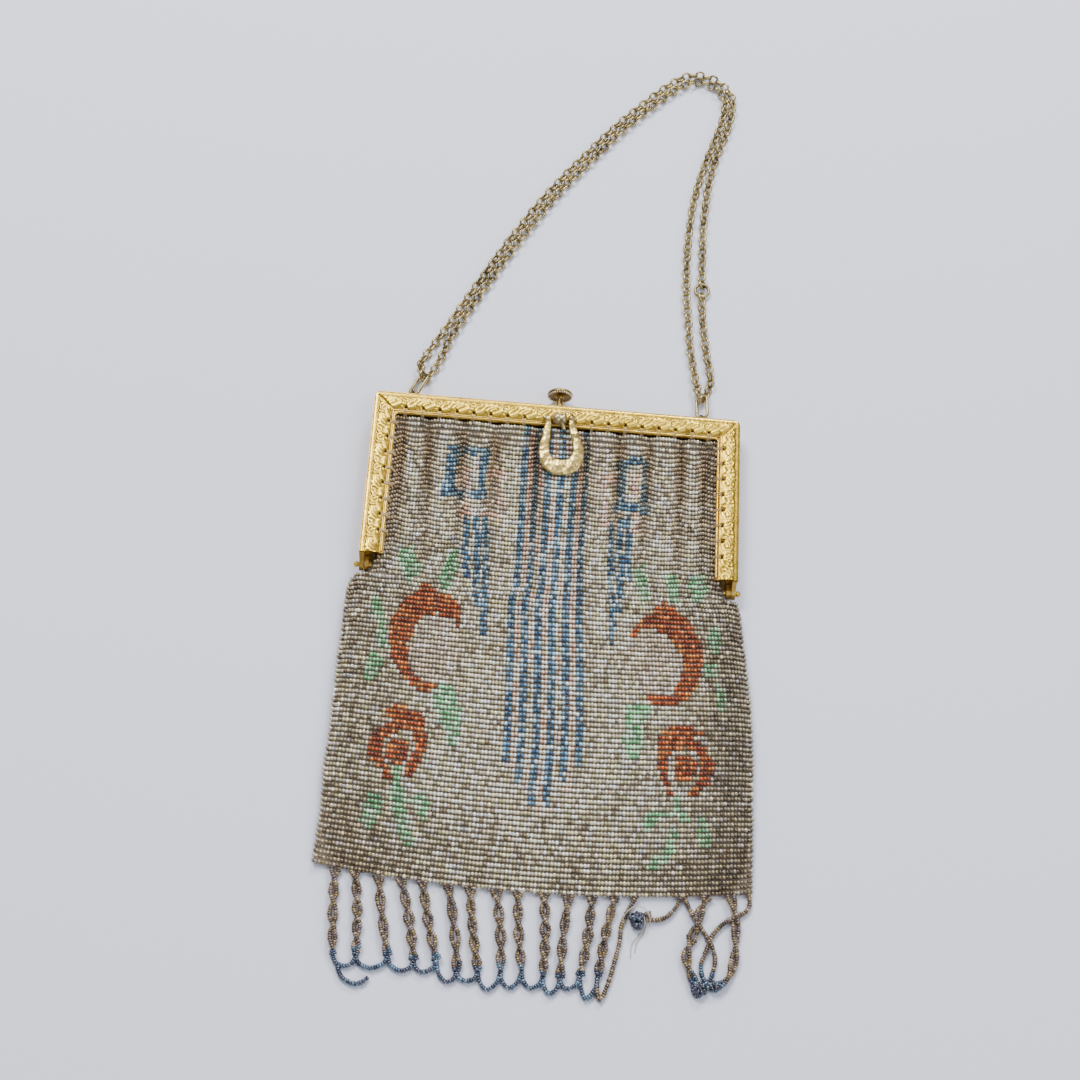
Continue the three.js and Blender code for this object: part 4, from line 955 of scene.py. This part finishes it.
def knob():
    """The push knob, turned round its stem: a hollowed saucer on a tapered stem, with painted shade under the
    saucer round the stem, and a rim of pale beads."""
    profile = [
        (0, -4.3), (1.0, -4.3), (1.1, -4.0), (1.1, -3.5), (1.85, -3.4), (1.9, -2.4), (1.3, -2.3), (1.5, 0.0),
        (1.6, 0.8), (1.5, 2.4), (1.15, 4.4), (1.15, 5.4), (1.4, 6.0), (2.2, 6.2), (3.4, 6.25), (4.2, 6.3),
        (4.6, 6.5), (4.75, 6.9), (4.7, 7.4), (4.4, 7.7), (3.6, 7.75), (2.6, 7.85), (1.4, 8.1), (0.6, 8.18),
        (0, 8.2),
    ]
    sides, rim, pale = 48, 4.25, (2.3, 3.0, 6.5)
    centre = np.array([CLASP_X, 0, FRAME_DEPTH / 2])
    parts = [turned(profile, sides, centre, (0, 1, 0))]
    # Painted shade on the saucer's underside round the stem
    shades = np.repeat([1.0] * 12 + [0.8, 0.6, 0.55, 0.6, 0.8] + [1.0] * 8, sides)
    tints = [np.repeat(shades[:, None], 3, 1)]
    for angle in np.linspace(0, 2 * math.pi, 30, endpoint=False):
        parts.append(ball(centre + [rim * math.cos(angle), 6.35, rim * math.sin(angle)], 0.42, 5, 8))
        tints.append(np.tile(pale, (len(parts[-1][0]), 1)))
    points, faces = joined(parts)
    made = closed_up(piece("clasp_knob_turned", points, faces, DULL_GILT, "knob", np.concatenate(tints)))
    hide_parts("clasp_knob")


def bezier(a, b, c, d):
    """Twenty points of a cubic curve from a to d with handles b and c."""
    t = np.linspace(0, 1, 20)[:, None]
    a, b, c, d = (np.array(p, float) for p in (a, b, c, d))
    return a * (1 - t) ** 3 + 3 * b * t * (1 - t) ** 2 + 3 * c * t ** 2 * (1 - t) + d * t ** 3


def horseshoe():
    """The hammered pull: rows across a horseshoe band from its outer to its inner edge, bulged on the front,
    with flat facets of uneven height."""
    length, half, arm, ball_x, thick = 22.0, 8.2, 2.2, 4.2, 1.5
    foot, widest = -length, -length * 0.6
    inner_half, inner_foot = half - 3.9, -length + 5.9
    bend = inner_foot * 0.75
    outer_top, inner_top = ball_x + arm / 2, ball_x - arm / 2
    outer = np.vstack([
        bezier((-outer_top, 0), (-outer_top - 0.2, widest * 0.4), (-half, widest * 0.6), (-half, widest))[:-1],
        bezier((-half, widest), (-half, foot * 0.86), (-half * 0.62, foot), (0, foot)),
    ])
    inner = np.vstack([
        bezier((-inner_top, 0), (-inner_top, inner_foot * 0.4), (-inner_half, inner_foot * 0.5),
               (-inner_half, bend))[:-1],
        bezier((-inner_half, bend), (-inner_half, inner_foot * 0.94), (-inner_half * 0.6, inner_foot),
               (0, inner_foot)),
    ])
    lines = []
    for line in (outer, inner):
        whole = np.vstack([line, (line[:-1] * [-1, 1])[::-1]])
        run = run_along(whole)
        lines.append(resampled(whole, run, np.linspace(0, run[-1], 97)))
    tilt = math.atan2(PIN_HEIGHT - (PULL_REST + thick / 2), length)
    across = np.linspace(0, 1, 13)
    flat = lines[0][:, None] * (1 - across)[None, :, None] + lines[1][:, None] * across[None, :, None]
    run = np.linspace(0, 34, 97)[:, None]
    facets = np.abs(np.sin(run * math.pi / 2 + 2.2 * np.sin(across * math.pi)[None]))
    facets = 1 - np.clip(facets / 0.35, 0, 1)
    bulge = np.sin(across * math.pi)[None] ** 0.5
    top = thick / 2 * (0.35 + 0.65 * bulge) + 0.22 * facets * bulge
    bottom = -thick / 2 * (0.35 + 0.65 * bulge) + 0 * run
    front = np.concatenate([flat, top[..., None]], -1)
    back = np.concatenate([flat, bottom[..., None]], -1)
    rows = np.concatenate([front, back[:, ::-1]], 1)
    count, width = rows.shape[:2]
    k = np.arange(width // 2 - 1)
    cap = np.stack([k, width - 1 - k, width - 2 - k, k + 1], 1)
    far_cap = (cap + (count - 1) * width)[:, ::-1]
    parts = [(rows, np.concatenate([grid_faces(count, width, False, True), cap, far_cap]))]
    for side in (-1, 1):
        parts.append(turned(ball_profile(1.35, 8), 16, (side * ball_x, 0, 0), (1, 0, 0)))
    points, faces = joined(parts)
    turn = np.array([[1, 0, 0], [0, math.cos(tilt), math.sin(tilt)], [0, -math.sin(tilt), math.cos(tilt)]])
    yaw = math.radians(5.5)
    swing = np.array([[math.cos(yaw), math.sin(yaw), 0], [-math.sin(yaw), math.cos(yaw), 0], [0, 0, 1]])
    points = points @ turn @ swing + [CLASP_X, PULL_Y, PIN_HEIGHT]
    made = closed_up(piece("horseshoe_pull_hammered", points, faces, PULL_GILT, "pull"))
    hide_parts("horseshoe_pull")


def boss():
    """The grey mount of the pull: a ribbed barrel on a shank riveted under the bar, the cross pin with a ball
    at each end, a small tab towards the bag and a curved wire over the barrel."""
    steps = np.linspace(0, 1, 49)
    ribs = (2.05 + 0.22 * np.abs(np.sin(steps * math.pi * 2))) * (1 - np.abs(2 * steps - 1) ** 5 * 0.5)
    barrel = [(0, -2.72)] + [(r, -2.7 + 5.4 * s) for s, r in zip(steps, ribs)] + [(0, 2.72)]
    pin = [(0, -PIN_REACH), (0.5, -PIN_REACH), (0.5, PIN_REACH), (0, PIN_REACH)]
    shank = [(0, 7.6), (1.8, 7.6), (1.8, 8.35), (1.0, 8.35), (1.0, PIN_HEIGHT), (0, PIN_HEIGHT)]
    parts = [
        turned(barrel, 28, (CLASP_X, PULL_Y - 0.2, PIN_HEIGHT - 0.15), (1, 0, 0)),
        turned(pin, 12, (CLASP_X, PULL_Y, PIN_HEIGHT), (1, 0, 0)),
        turned(shank, 16, (CLASP_X, PULL_Y, 0), (0, 0, 1)),
    ]
    for side in (-1, 1):
        parts.append(ball((CLASP_X + side * PIN_REACH, PULL_Y, PIN_HEIGHT), 0.82, 8, 14))
    tab = smooth_path([(1.4, -7.4, 11.6), (1.9, -8.8, 11.5), (2.4, -10.2, 10.9)], 10)
    wire = smooth_path([(0.8, -3.7, 12.1), (3.0, -3.7, 12.6), (5.0, -4.5, 12.8), (6.1, -6.2, 12.4)], 18)
    parts += [tube(tab, 0.8, 10), tube(wire, 0.28, 8)]
    points, faces = joined(parts)
    made = closed_up(piece("pull_boss_ribbed", points, faces, STEEL, "purse"))
    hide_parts("pull_boss")


# Lugs, rings and chain

LUG_X, LUG_Y, LUG_Z = 54.2, 2.6, 3.6
RING_LENGTH, RING_WIDTH, RING_WIRE = 11.6, 5.6, 0.55
RING_TWIST = math.radians(40)
OUTER_LEFT = [
    (-51.6, 18.4), (-44.2, 34.6), (-36.6, 50.6), (-24.8, 74), (-12.4, 95.4), (0.9, 114.6), (15, 132.8),
    (27, 146), (38.6, 157.4), (48.2, 162.6), (58.3, 160), (64.2, 153), (65, 146.4), (63.6, 137.4),
    (60.8, 128.4), (58.2, 120.4), (55.6, 109.6), (54.4, 100.4), (53.2, 89.6), (53, 79), (53, 68),
]
OUTER_RIGHT = [(53.4, 51), (54, 43.6), (55.4, 32), (56.8, 24.4), (57.2, 19)]
INNER = [
    (-45.2, 18.8), (-40.8, 29), (-34.2, 40.4), (-23.4, 60.6), (-13, 78.6), (-2.4, 96.4), (10.2, 113.6),
    (22.4, 130.4), (32.8, 142.4), (42.6, 152.4), (49.6, 156.4), (56, 154.4), (59.2, 149.4), (58.2, 140.4),
    (55.9, 131.4), (53.6, 123.4), (50.9, 112.4), (48.8, 101), (47.8, 88), (47.2, 77.6), (47, 67),
    (47.3, 55.4), (48.3, 44.3), (49.3, 32.5), (51.2, 21.6),
]
CHAIN_HEIGHT = 1.75
LINK_LENGTH, LINK_WIDTH, LINK_WIRE, LINK_PITCH = 4.3, 3.9, 0.45, 2.9
JUMP_CENTRE = (53.2, 59.5, 1.7)


def ring_axes(side):
    """The elongated ring's lug, its long direction, its short one and the one square to both."""
    lean = math.radians(23 if side < 0 else -2)
    along = unit([math.sin(lean), math.cos(lean), -0.1])
    level = np.array([math.cos(lean), -math.sin(lean), 0])
    raised = np.cross(level, along)
    across = level * math.cos(RING_TWIST) + raised * math.sin(RING_TWIST)
    return np.array([side * LUG_X, LUG_Y, LUG_Z]), along, across, np.cross(across, along)


def wire_loop(centre, across, along, half_width, straight, wire, steps, sides):
    """A closed loop of round wire: two half circles joined by straight sides."""
    square = np.cross(across, along)
    parts = []
    for end in (1, -1):
        for angle in np.linspace(0, math.pi, steps) + (0 if end > 0 else math.pi):
            out = across * math.cos(angle) + along * math.sin(angle)
            middle = centre + along * end * straight + out * half_width
            turn = np.linspace(0, 2 * math.pi, sides, endpoint=False)[:, None]
            parts.append(middle + wire * (out * np.cos(turn) + square * np.sin(turn)))
    points = np.array(parts)
    return points.reshape(-1, 3), grid_faces(len(parts), sides, True, True)


def lugs_and_rings():
    """Finer hoops over the two lugs, and the two long rings that hang in them."""
    hoops = []
    for side, name in ((-1, "left"), (1, "right")):
        lug, along, across, square = ring_axes(side)
        hoops.append(wire_loop(lug, square, along, 1.35, 0.0, 0.5, 16, 10))
        hoops.append(turned([(0, -1.6), (1.15, -1.5), (1.15, -0.5), (0.7, 0.2), (0.62, 1.1), (0, 1.3)], 16,
                            lug - [0, 1.9, 0], (0, 1, 0)))
        half_width = RING_WIDTH / 2 - RING_WIRE
        straight = RING_LENGTH / 2 - RING_WIRE - half_width
        centre = lug + along * (RING_LENGTH / 2 - RING_WIRE)
        points, faces = wire_loop(centre, across, along, half_width, straight, RING_WIRE * 1.14, 16, 12)
        made = closed_up(piece(f"ring_{name}_wire", points, faces, BRASS, "purse"))
        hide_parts(f"chain_ring_{name}")
    points, faces = joined(hoops)
    # The hoops are tinted to 0.6: tarnish and painted shade of their insides
    made = closed_up(piece("lug_hoops", points, faces, DULL_GILT, "purse", np.full((len(points), 3), 0.6)))


def drawn_together(route, other, share):
    """A strand moved towards the other one, by a share of the room between them beyond 3.1 mm. The ends near
    the rings and the stretch beside the jump ring stay."""
    route, other = np.array(route, float), smooth_path(other, 400)
    gap = other[None] - route[:, None]
    away = np.linalg.norm(gap, axis=-1)
    nearest = away.argmin(1)
    step = gap[np.arange(len(route)), nearest]
    away = away.min(1)
    left = route[:, 0] < 35
    ease = np.where(left, np.clip((route[:, 1] - 18) / 16, 0, 1), np.clip((route[:, 1] - 92) / 30, 0, 1))
    move = step * (share * ease * np.maximum(away - 3.1, 0) / np.maximum(away, 0.1))[:, None]
    return [tuple(place) for place in route + move]


def chain_route():
    """The chain's middle line, from the jump ring by way of both long rings and back to it."""
    def level(route):
        return [(x, y, CHAIN_HEIGHT) for x, y in route]

    outer_left = drawn_together(OUTER_LEFT, INNER, 0.4)
    inner = drawn_together(INNER, OUTER_LEFT, 0.6)

    def through(side):
        lug, along, _, square = ring_axes(side)
        reach = RING_LENGTH - 2 * RING_WIRE - (RING_WIRE + 0.9)
        middle = lug + along * reach
        above, below = middle + square * 2.1 + along * 1.3, middle - square * 1.9 + along
        return above, middle, below

    left_above, left_middle, left_below = through(-1)
    right_above, right_middle, right_below = through(1)
    top = [tuple(np.array(JUMP_CENTRE) - [0, 2.9, 0])]
    return (
        top + level(OUTER_RIGHT) + [right_below, right_middle, right_above] + level(inner[::-1])
        + [left_below, left_middle, left_above] + level(outer_left)
        + [tuple(np.array(JUMP_CENTRE) + [0, 2.9, 0])]
    )


def chain():
    """Belcher links along the route. Each is an oval ring of round wire, turned by half a right angle to one
    side and the next one to the other."""
    fine = smooth_path(chain_route(), 6000)
    fine[:, 2] = np.maximum(fine[:, 2], LINK_WIDTH / 2 * 0.72 + 0.1)
    run = run_along(fine)
    count = int(round(run[-1] / LINK_PITCH))
    at = np.linspace(0, run[-1], count)
    middle = resampled(fine, run, at)
    direction = unit(resampled(fine, run, at + 1.2) - resampled(fine, run, at - 1.2))
    level = unit(np.cross(direction, [0, 0, 1.0]) + [1e-6, 0, 0])
    up = np.cross(level, direction)
    turn = np.where(np.arange(count) % 2 == 0, 1, -1) * math.radians(45) + chance.normal(0, 0.09, count)
    across = level * np.cos(turn)[:, None] + up * np.sin(turn)[:, None]
    axes = np.stack([direction, across, np.cross(across, direction)], 1)
    around, section = (np.linspace(0, 2 * math.pi, sides, endpoint=False) for sides in (14, 7))
    long, wide = LINK_LENGTH / 2 - LINK_WIRE, LINK_WIDTH / 2 - LINK_WIRE
    shape = np.stack([
        (np.cos(around) * long)[:, None] + LINK_WIRE * np.outer(np.cos(around), np.cos(section)),
        (np.sin(around) * wide)[:, None] + LINK_WIRE * np.outer(np.sin(around), np.cos(section)),
        LINK_WIRE * 1.35 * np.sin(section)[None] + 0 * around[:, None],
    ], -1).reshape(-1, 3)
    points, faces = copies(shape, grid_faces(14, 7, True, True), middle, axes)
    points[:, 2] = np.maximum(points[:, 2], 0.02)
    made = piece("chain_links", points, faces, BRASS, "purse")
    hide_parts("chain")


def jump_ring():
    """The round ring that closes the chain."""
    across, along = np.eye(3)[:2]
    points, faces = wire_loop(np.array(JUMP_CENTRE), across, along, 2.65, 0.0, 0.6, 20, 12)
    made = closed_up(piece("jump_ring_wire", points, faces, BRASS, "purse"))
    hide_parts("chain_jump_ring")


# Fringe

# Where each twisted pair starts on the bottom edge, x, and where it ends, x and y
PAIRS = [
    (-65, -62.9, -204.4), (-58.3, -55.5, -204), (-50.4, -45.1, -203.4), (-43, -36.5, -204.2),
    (-35.8, -29, -203.8), (-27.2, -22.2, -206.9), (-19.8, -15.3, -206.4), (-11.1, -7.9, -205.8),
    (-3.8, -1, -205.2), (4.9, 6, -206.6), (13.3, 11.7, -206.8), (21, 18.2, -205.6), (28.7, 24.2, -205),
]
SWAG_LOWS = [
    (-59, -207.6), (-50.5, -207.6), (-40.7, -207.9), (-33.6, -207.8), (-25.6, -210.4), (-18.8, -209.7),
    (-11.9, -212.1), (-4.8, -211), (2, -210.6), (8.6, -212), (14.4, -210), (20.6, -212.9),
]
LOOSE = [
    [(-61.2, -207.6, 1), (-60, -210.4, 1), (-58, -212.2, 1), (-54.2, -213.1, 1), (-50.6, -210.6, 1)],
    [(24.2, -204, 1.2), (24, -209.5, 1), (25.2, -212.8, 1), (27.3, -208.4, 1), (29.6, -199.8, 1),
     (31, -192.6, 1), (31.4, -188, 1), (33.4, -182.6, 1.4), (36.4, -177.3, 1.8)],
    [(51.2, -176.4, 1.8), (49.6, -180.2, 1.2), (46.7, -183.8, 1), (42.9, -185.4, 1), (39.4, -185.4, 1.4),
     (36.6, -186.1, 2)],
    [(51.6, -176.4, 1.8), (54.1, -181.4, 1.4), (56.4, -185, 1), (59.3, -188.7, 1), (61.6, -193.2, 2.2),
     (62.9, -197, 1), (62.2, -201.4, 1), (60.8, -205, 1), (61.2, -207, 1)],
    [(59.8, -176.0, 1.9), (57.6, -181.6, 1.2), (56.2, -186.4, 2.4), (54.7, -191.5, 1), (53.2, -196.2, 1),
     (54, -200.6, 1), (55.6, -204.2, 1), (58.3, -207.4, 1)],
    [(67.6, -175.2, 1.9), (69.2, -182.2, 2.5), (69.6, -188, 1), (69.5, -193, 1), (69, -197.6, 1),
     (67.8, -202, 1), (65.2, -205, 1), (61.4, -206.8, 1.2)],
    [(73.6, -172.6, 1.6), (74.2, -176.6, 1.1), (73.8, -179.4, 1.0), (71, -181.9, 1), (66.9, -183.9, 1),
     (63.6, -186.8, 1), (61.3, -190.4, 1), (59.4, -195.5, 1), (58.2, -199, 1), (58.6, -202.5, 1),
     (60.2, -205.4, 1)],
]
# The loose strands that are wound pairs themselves
DOUBLED = (4, 5)
# Middle, radius and stretch of each lump of beads
LUMPS = [
    ((36.6, -186.2, 2.2), 2.4, (1.05, 1.2, 1)), ((39.6, -184.2, 1.6), 1.2, (1.2, 1, 1)),
    ((57.4, -207.2, 1.7), 2.3, (1.1, 1.15, 0.75)), ((62.6, -206.0, 1.5), 2.0, (1.35, 0.8, 0.75)),
]
# Thread without beads: the loop over the knot, its tail and the gap in the left strand
BARE_THREADS = [
    [(31.2, -187.6, 0.5), (32.4, -184.2, 2.6), (35.4, -181.9, 4.6), (38.6, -182.6, 4.6), (40.6, -185.4, 3.4),
     (40.8, -187.8, 0.6)],
    [(38.4, -185.2, 4.4), (38.8, -187.6, 3.2), (37.6, -190.4, 0.4), (35.2, -193.8, 0.25),
     (34.8, -198.4, 0.25)],
    [(-62.9, -203.2, 1.2), (-62.2, -205.3, 0.9), (-61.2, -207.8, 1.1)],
    [(39.6, -187.4, 0.6), (38.8, -190.2, 0.25), (36.8, -193.2, 0.25), (36.2, -196.4, 0.25)],
]
STRING_PITCH = 0.86
STRING_RADIUS = 0.9
FRINGE_SHADES = np.array([
    linear(124, 102, 76), linear(98, 80, 60), linear(160, 138, 114), linear(112, 94, 90), linear(130, 110, 66),
    linear(82, 66, 50),
])
BLUE_SHADES = np.array([linear(60, 78, 102), linear(46, 54, 76), linear(92, 120, 142), linear(74, 76, 94)])
WAD_SHADES = np.array([
    linear(48, 56, 78), linear(58, 56, 74), linear(36, 40, 54), linear(90, 112, 130), linear(66, 68, 88),
])


def bottom_edge(x):
    """The y of the bag's bottom edge at a given x."""
    place = (np.asarray(x, float) - 1.0) / 73.8
    return MOUTH_Y - BAG_LENGTH - BAG_SAG * (1 - place ** 2)


def twisted_pair(top, end_x, end_y, number):
    """Two strings of beads wound round one straight line from the bottom edge."""
    start = np.array([top, float(bottom_edge(top)) - 0.4, 1.8])
    end = np.array([end_x, end_y, 1.8])
    share = np.linspace(0, 1, 160)[:, None]
    line = start + (end - start) * share
    line[:, 0] += np.sin(share[:, 0] * math.pi) * (0.6 if number % 2 else -0.4)
    return wound(line, number)


def wound(line, number):
    """Two strings round one line, 0.8 to 1.5 mm from it at opposite angles that turn about twice. They start
    apart, side by side."""
    share = np.linspace(0, 1, len(line))
    across, square = across_path(line)
    turns = 1.9 + 0.35 * math.sin(number * 2.3)
    angle = share * turns * 2 * math.pi + 0.25 * math.sin(number * 1.7)
    open_loop = (0.25 + 0.25 * math.sin(number * 3.1)) * np.sin(share * math.pi) ** 2
    apart = 0.4 * np.clip(1 - share / 0.2, 0, 1)
    wide = 0.88 + open_loop + apart + 0.1 * np.sin(share * 23 + number)
    ring = across * (wide * np.cos(angle))[:, None] + square * (0.8 * np.sin(angle))[:, None]
    return line + ring, line - ring


def strings():
    """Every string of the fringe as (points, share along it where blue beads begin)."""
    found = []
    for number, (top, x, y) in enumerate(PAIRS):
        left, right = twisted_pair(top, x, y, number)
        found += [(left, 0.92), (right, 0.93)]
    for (_, x0, y0), (_, x1, y1), (low_x, low_y) in zip(PAIRS, PAIRS[1:], SWAG_LOWS):
        route = [(x0, y0, 1.5), ((x0 * 3 + low_x) / 4, (y0 + low_y) / 2 - 0.6, 0.9), (low_x, low_y, 0.85),
                 ((x1 * 3 + low_x) / 4, (y1 + low_y) / 2 - 0.6, 0.9), (x1, y1, 1.5)]
        found.append((smooth_path(route, 80), 0.0))
    for number, route in enumerate(LOOSE):
        line = smooth_path(route, 160)
        blue_from = 0.0 if route[0][0] < 0 else 0.85
        if number in DOUBLED:
            line[:, 2] = np.maximum(line[:, 2], 1.8)
            found += [(string, blue_from) for string in wound(line, number + 5)]
        else:
            found.append((line, blue_from if route[-1][1] < -200 else 2.0))
    return found


def string_beads(line, blue_from):
    """Places, axes and colours of the beads on one string, blue beyond a share of its length."""
    line = np.array(line)
    line[:, 2] = np.maximum(line[:, 2], STRING_RADIUS + 0.26)
    run = run_along(line)
    count = max(int(run[-1] / STRING_PITCH), 2)
    at = (np.arange(count) + 0.5) * run[-1] / count
    middle = resampled(line, run, at)
    after = resampled(line, run, np.minimum(at + 0.4, run[-1]))
    before = resampled(line, run, np.maximum(at - 0.4, 0))
    direction = unit(after - before)
    across = unit(np.cross(direction, [0, 0, 1.0]) + [1e-6, 0, 0])
    size = chance.normal(1, 0.06, (count, 1))
    axes = np.stack([
        direction * STRING_PITCH * 0.98 * size, across * size, np.cross(direction, across) * size,
    ], 1)
    middle = middle + chance.normal(0, 0.04, middle.shape)
    blue = at / run[-1] > blue_from + chance.normal(0, 0.03, count)
    blues = BLUE_SHADES[chance.integers(0, len(BLUE_SHADES), count)]
    browns = FRINGE_SHADES[chance.integers(0, len(FRINGE_SHADES), count)]
    shades = np.where(blue[:, None], blues, browns)
    return middle, axes, shades * chance.uniform(0.75, 1.3, count)[:, None]


def lump_beads(centre, radius, stretch):
    """Places, axes and colours of the beads round one lump: points on a ball, strung along a spiral that
    turns by the golden angle from one to the next."""
    count = int(9 * radius ** 2)
    tilt = np.arccos(1 - 2 * (np.arange(count) + 0.5) / count)
    turn = np.arange(count) * math.pi * (3 - math.sqrt(5))
    out = np.stack([np.sin(tilt) * np.cos(turn), np.sin(tilt) * np.sin(turn), np.cos(tilt)], 1)
    middle = np.array(centre) + out * (radius - 0.5) * np.array(stretch)
    middle += chance.normal(0, 0.18, (count, 3))
    middle[:, 2] = np.maximum(middle[:, 2], STRING_RADIUS + 0.12)
    direction = unit(np.cross(out, [0.3, 0.2, 1.0]) + 1e-6)
    across = unit(np.cross(direction, out) + 1e-9)
    axes = np.stack([direction * 1.1, across, np.cross(direction, across)], 1)
    shades = FRINGE_SHADES if radius < 1.5 else WAD_SHADES
    return middle, axes, shades[chance.integers(0, len(shades), count)]


def fringe():
    """All bead strings, the knotted end, the blue wad and the bare threads."""
    beads = [string_beads(line, blue_from) for line, blue_from in strings()]
    beads += [lump_beads(*lump) for lump in LUMPS]
    centres, axes, tints = (np.concatenate(part) for part in zip(*beads))
    shape, faces = bead_shape(STRING_RADIUS, DISC, 8)
    points, all_faces = copies(shape, faces, centres, axes)
    tints = np.repeat(tints, len(shape), 0)
    made = piece("fringe_strings", points, all_faces, FRINGE_BEADS, "purse", tints)
    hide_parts("fringe")
    parts = []
    for route in BARE_THREADS:
        line = smooth_path(route, 60)
        line[:, 2] = np.maximum(line[:, 2], 0.2)
        parts.append(tube(line, 0.17, 6))
    points, faces = joined(parts)
    made = closed_up(piece("bare_threads", points, faces, BARE_THREAD, "purse"))


# Surroundings


def floor():
    """A plain pale floor."""
    mesh = bpy.data.meshes.new("floor")
    reach = 12.0
    mesh.from_pydata([(-reach, -reach, 0), (reach, -reach, 0), (reach, reach, 0), (-reach, reach, 0)], [],
                     [(0, 1, 2, 3)])
    made = bpy.data.objects.new("floor", mesh)
    bpy.context.scene.collection.objects.link(made)
    material, tree, shader = surface("pale_floor", Base_Color=rgba(232, 235, 250), Roughness=0.9)
    shader.inputs["Specular IOR Level"].default_value = 0.1
    mesh.materials.append(material)


def lamp(name, place, target, size, watts, colour=(1.0, 1.0, 1.0)):
    """A square soft light at a place in metres, turned to face a target."""
    light = bpy.data.lights.new(name, "AREA")
    light.size = size
    light.energy = watts
    light.color = colour
    made = bpy.data.objects.new(name, light)
    bpy.context.scene.collection.objects.link(made)
    made.location = place
    away = Vector(place) - Vector(target)
    made.rotation_euler = away.to_track_quat("Z", "Y").to_euler()


def studio():
    """Soft light from above and both sides, and a pale sky."""
    world = bpy.data.worlds.new("studio")
    world.use_nodes = True
    background = world.node_tree.nodes["Background"]
    background.inputs["Color"].default_value = (0.86, 0.89, 0.96, 1.0)
    background.inputs["Strength"].default_value = SKY
    bpy.context.scene.world = world
    middle = (0.0, 0.0, 0.0)
    lamp("key", (-0.5, 0.7, 1.3), middle, 0.6, 22.0, (1.0, 0.98, 0.95))
    lamp("fill", (0.9, -0.5, 1.2), middle, 1.2, 11.0, (0.93, 0.96, 1.0))
    lamp("glint", (0.25, 1.1, 0.9), middle, 0.3, 12.0)


SKY = 0.5
CAMERA_HEIGHT = math.radians(66)
CAMERA_TURN = math.radians(-6.38)
CAMERA_ROLL = math.radians(10.43)
CAMERA_AWAY = 675.5
CAMERA_AIM = (-3.41, -50.12, 0.0)


def camera():
    """The photograph's view, with the picture turned about the line of sight."""
    back = np.array([math.sin(CAMERA_TURN) * math.cos(CAMERA_HEIGHT),
                     -math.cos(CAMERA_TURN) * math.cos(CAMERA_HEIGHT), math.sin(CAMERA_HEIGHT)])
    level = np.array([math.cos(CAMERA_TURN), math.sin(CAMERA_TURN), 0])
    upward = np.cross(back, level)
    right = math.cos(CAMERA_ROLL) * level + math.sin(CAMERA_ROLL) * upward
    top = np.cross(back, right)
    view = bpy.data.cameras.new("camera")
    view.sensor_width = 36
    view.lens = 62.2
    view.clip_start = 0.01
    made = bpy.data.objects.new("camera", view)
    bpy.context.scene.collection.objects.link(made)
    turn = Matrix(np.stack([right, top, back], 1).tolist()).to_4x4()
    place = placed(np.array(CAMERA_AIM) + back * CAMERA_AWAY)
    made.matrix_world = Matrix.Translation(place.tolist()) @ turn
    bpy.context.scene.camera = made


frame_relief()
rail()
stitches()
knob()
horseshoe()
boss()
lugs_and_rings()
chain()
jump_ring()
lining(CLOTH)
beadwork(True, BEADS)
beadwork(False, BEADS)
fringe()
floor()
studio()
camera()

NODE_MATERIALS = {
    "frame_front": SHADED_WALL_GILT, "frame_back": SHADED_WALL_GILT, "hinge_rivet_left": GILT, "hinge_rivet_right": GILT,
}
for node, material in NODE_MATERIALS.items():
    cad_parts[node].data.materials.clear()
    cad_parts[node].data.materials.append(material)
